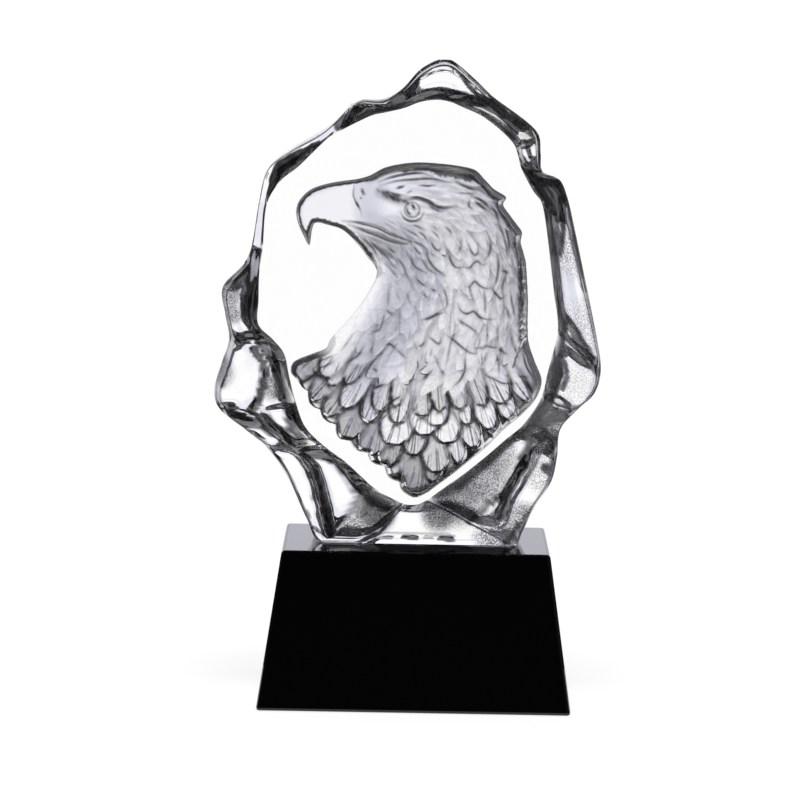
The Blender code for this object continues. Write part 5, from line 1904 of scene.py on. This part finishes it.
@dataclass
class Studio:
    """The camera, the pale floor and the light tent round the trophy."""

    target: tuple[float, float, float] = (-0.00268, 0.0, 0.10996)
    distance: float = 1.332
    elevation: float = math.radians(7.8)
    roll: float = math.radians(1.0)
    lens: float = 162.0
    sensor: float = 36.0
    floor_front: float = -0.45
    floor_back: float = 0.13
    floor_side: float = 0.6
    lamp_place: tuple[float, float, float] = (0, -0.4, 1.6)
    lamp_size: tuple[float, float] = (0.5, 0.3)
    lamp_power: float = 3.0
    bounces: int = 24
    glossy_bounces: int = 12
    cloth_fold: float = 6.0
    cloth_range: tuple[float, float] = (0.38, 0.68)
    cloth_dark: float = 0.020
    cloth_light: float = 0.14
    pale: float = 1.05
    lavender: Colour = (0.83, 0.83, 0.92, 1.0)
    whitest: Card = Card((-4, 4), (-13, -2), 1.0)
    cards: tuple[Card, ...] = (
        Card((-76, -60), (-25, 45), 0.6),
        Card((60, 76), (-25, 45), 0.6),
        Card((-14, 14), (-18, 9), 1.06),
        Card((-30, -12), (-13, 5), 0.95),
        Card((120, 240), (-60, -3), 0.10),
        Card((168, 192), (0, 20), 0.004),
        Card((-6, 6), (8, 12), 1.4, 2.0),
    )

    def build(self) -> None:
        """Set up the camera, the world, the floor and the lamp."""
        self.place_camera()
        self.light_tent()
        self.place_floor()
        self.place_lamp()
        bpy.context.scene.view_settings.view_transform = "Standard"
        cycles = bpy.context.scene.cycles
        cycles.use_denoising = cycles.caustics_reflective = cycles.caustics_refractive = True
        cycles.max_bounces = cycles.transmission_bounces = self.bounces
        cycles.glossy_bounces = self.glossy_bounces

    def place_camera(self) -> None:
        """Stand the camera where the picture was taken from."""
        data = bpy.data.cameras.new("camera")
        data.sensor_width = self.sensor
        data.lens = self.lens
        camera = stood("camera", data)
        forward = Vector((0, math.cos(self.elevation), -math.sin(self.elevation)))
        upward = Vector((0, math.sin(self.elevation), math.cos(self.elevation)))
        facing = Matrix((Vector((1, 0, 0)), upward, -forward)).transposed()
        turned = facing @ Matrix.Rotation(self.roll, 3, "Z")
        place = Vector(self.target) - forward * self.distance
        camera.matrix_world = Matrix.Translation(place) @ turned.to_4x4()
        bpy.context.scene.camera = camera

    def light_tent(self) -> None:
        """Paint the light tent's cards on a dim world, with plain pale paper behind the trophy."""
        world = bpy.data.worlds.new("light tent")
        bpy.context.scene.world = world
        world.use_nodes = True
        bench = Bench(world.node_tree)
        direction = bench.node("ShaderNodeTexCoord").outputs["Generated"]
        split = bench.node("ShaderNodeSeparateXYZ", None, {"Vector": direction})
        x, y, z = (Wire(bench, output) for output in split.outputs)
        turn_back = x.maths("ARCTAN2", x, y) * math.degrees(1)
        turn_front = x.maths("ARCTAN2", 0 - x, 0 - y) * math.degrees(1) + 180
        rise = z.maths("ARCSINE", z) * math.degrees(1)
        folds = bench.noise(direction, self.cloth_fold, 3.0)
        level = folds.ramp(*self.cloth_range, self.cloth_dark, self.cloth_light)
        for card in self.cards:
            turn = turn_front if min(card.turn) > 90 else turn_back
            level = level + card.mask(turn, rise) * (card.level - level)
        seen = bench.wire("ShaderNodeLightPath", "Is Camera Ray")
        level = level + seen * (self.pale - level)
        white = self.whitest.mask(turn_back, rise)
        tint = bench.mixed(white + seen * (1 - white), self.lavender, WHITE)
        background = bench.node("ShaderNodeBackground", None, {"Color": tint, "Strength": level})
        bench.node("ShaderNodeOutputWorld", None, {"Surface": background.outputs["Background"]})

    def place_floor(self) -> None:
        """Lay the pale floor."""
        side, front, back = self.floor_side, self.floor_front, self.floor_back
        mesh = bpy.data.meshes.new("floor")
        mesh.from_pydata([(-side, front, 0), (side, front, 0), (side, back, 0), (-side, back, 0)],
                         [], [(0, 1, 2, 3)])
        mesh.materials.append(PaleFloor().material())
        stood("floor", mesh)

    def place_lamp(self) -> None:
        """Hang one soft lamp over the front."""
        data = bpy.data.lights.new("soft lamp", "AREA")
        data.shape = "RECTANGLE"
        data.size, data.size_y = self.lamp_size
        data.energy = self.lamp_power
        lamp = stood("soft lamp", data)
        lamp.location = self.lamp_place
        lamp.rotation_euler = (-Vector(lamp.location)).to_track_quat("-Z", "Y").to_euler()


def main() -> None:
    """Build the trophy and its studio."""
    logging.basicConfig(level=logging.INFO, format="%(message)s")
    Studio().build()
    for part in (Pedestal(), CrystalBlock()):
        piece = part.build()
        LOG.info("%s: %d faces", piece.name, len(piece.data.polygons))


if __name__ == "__main__":
    main()
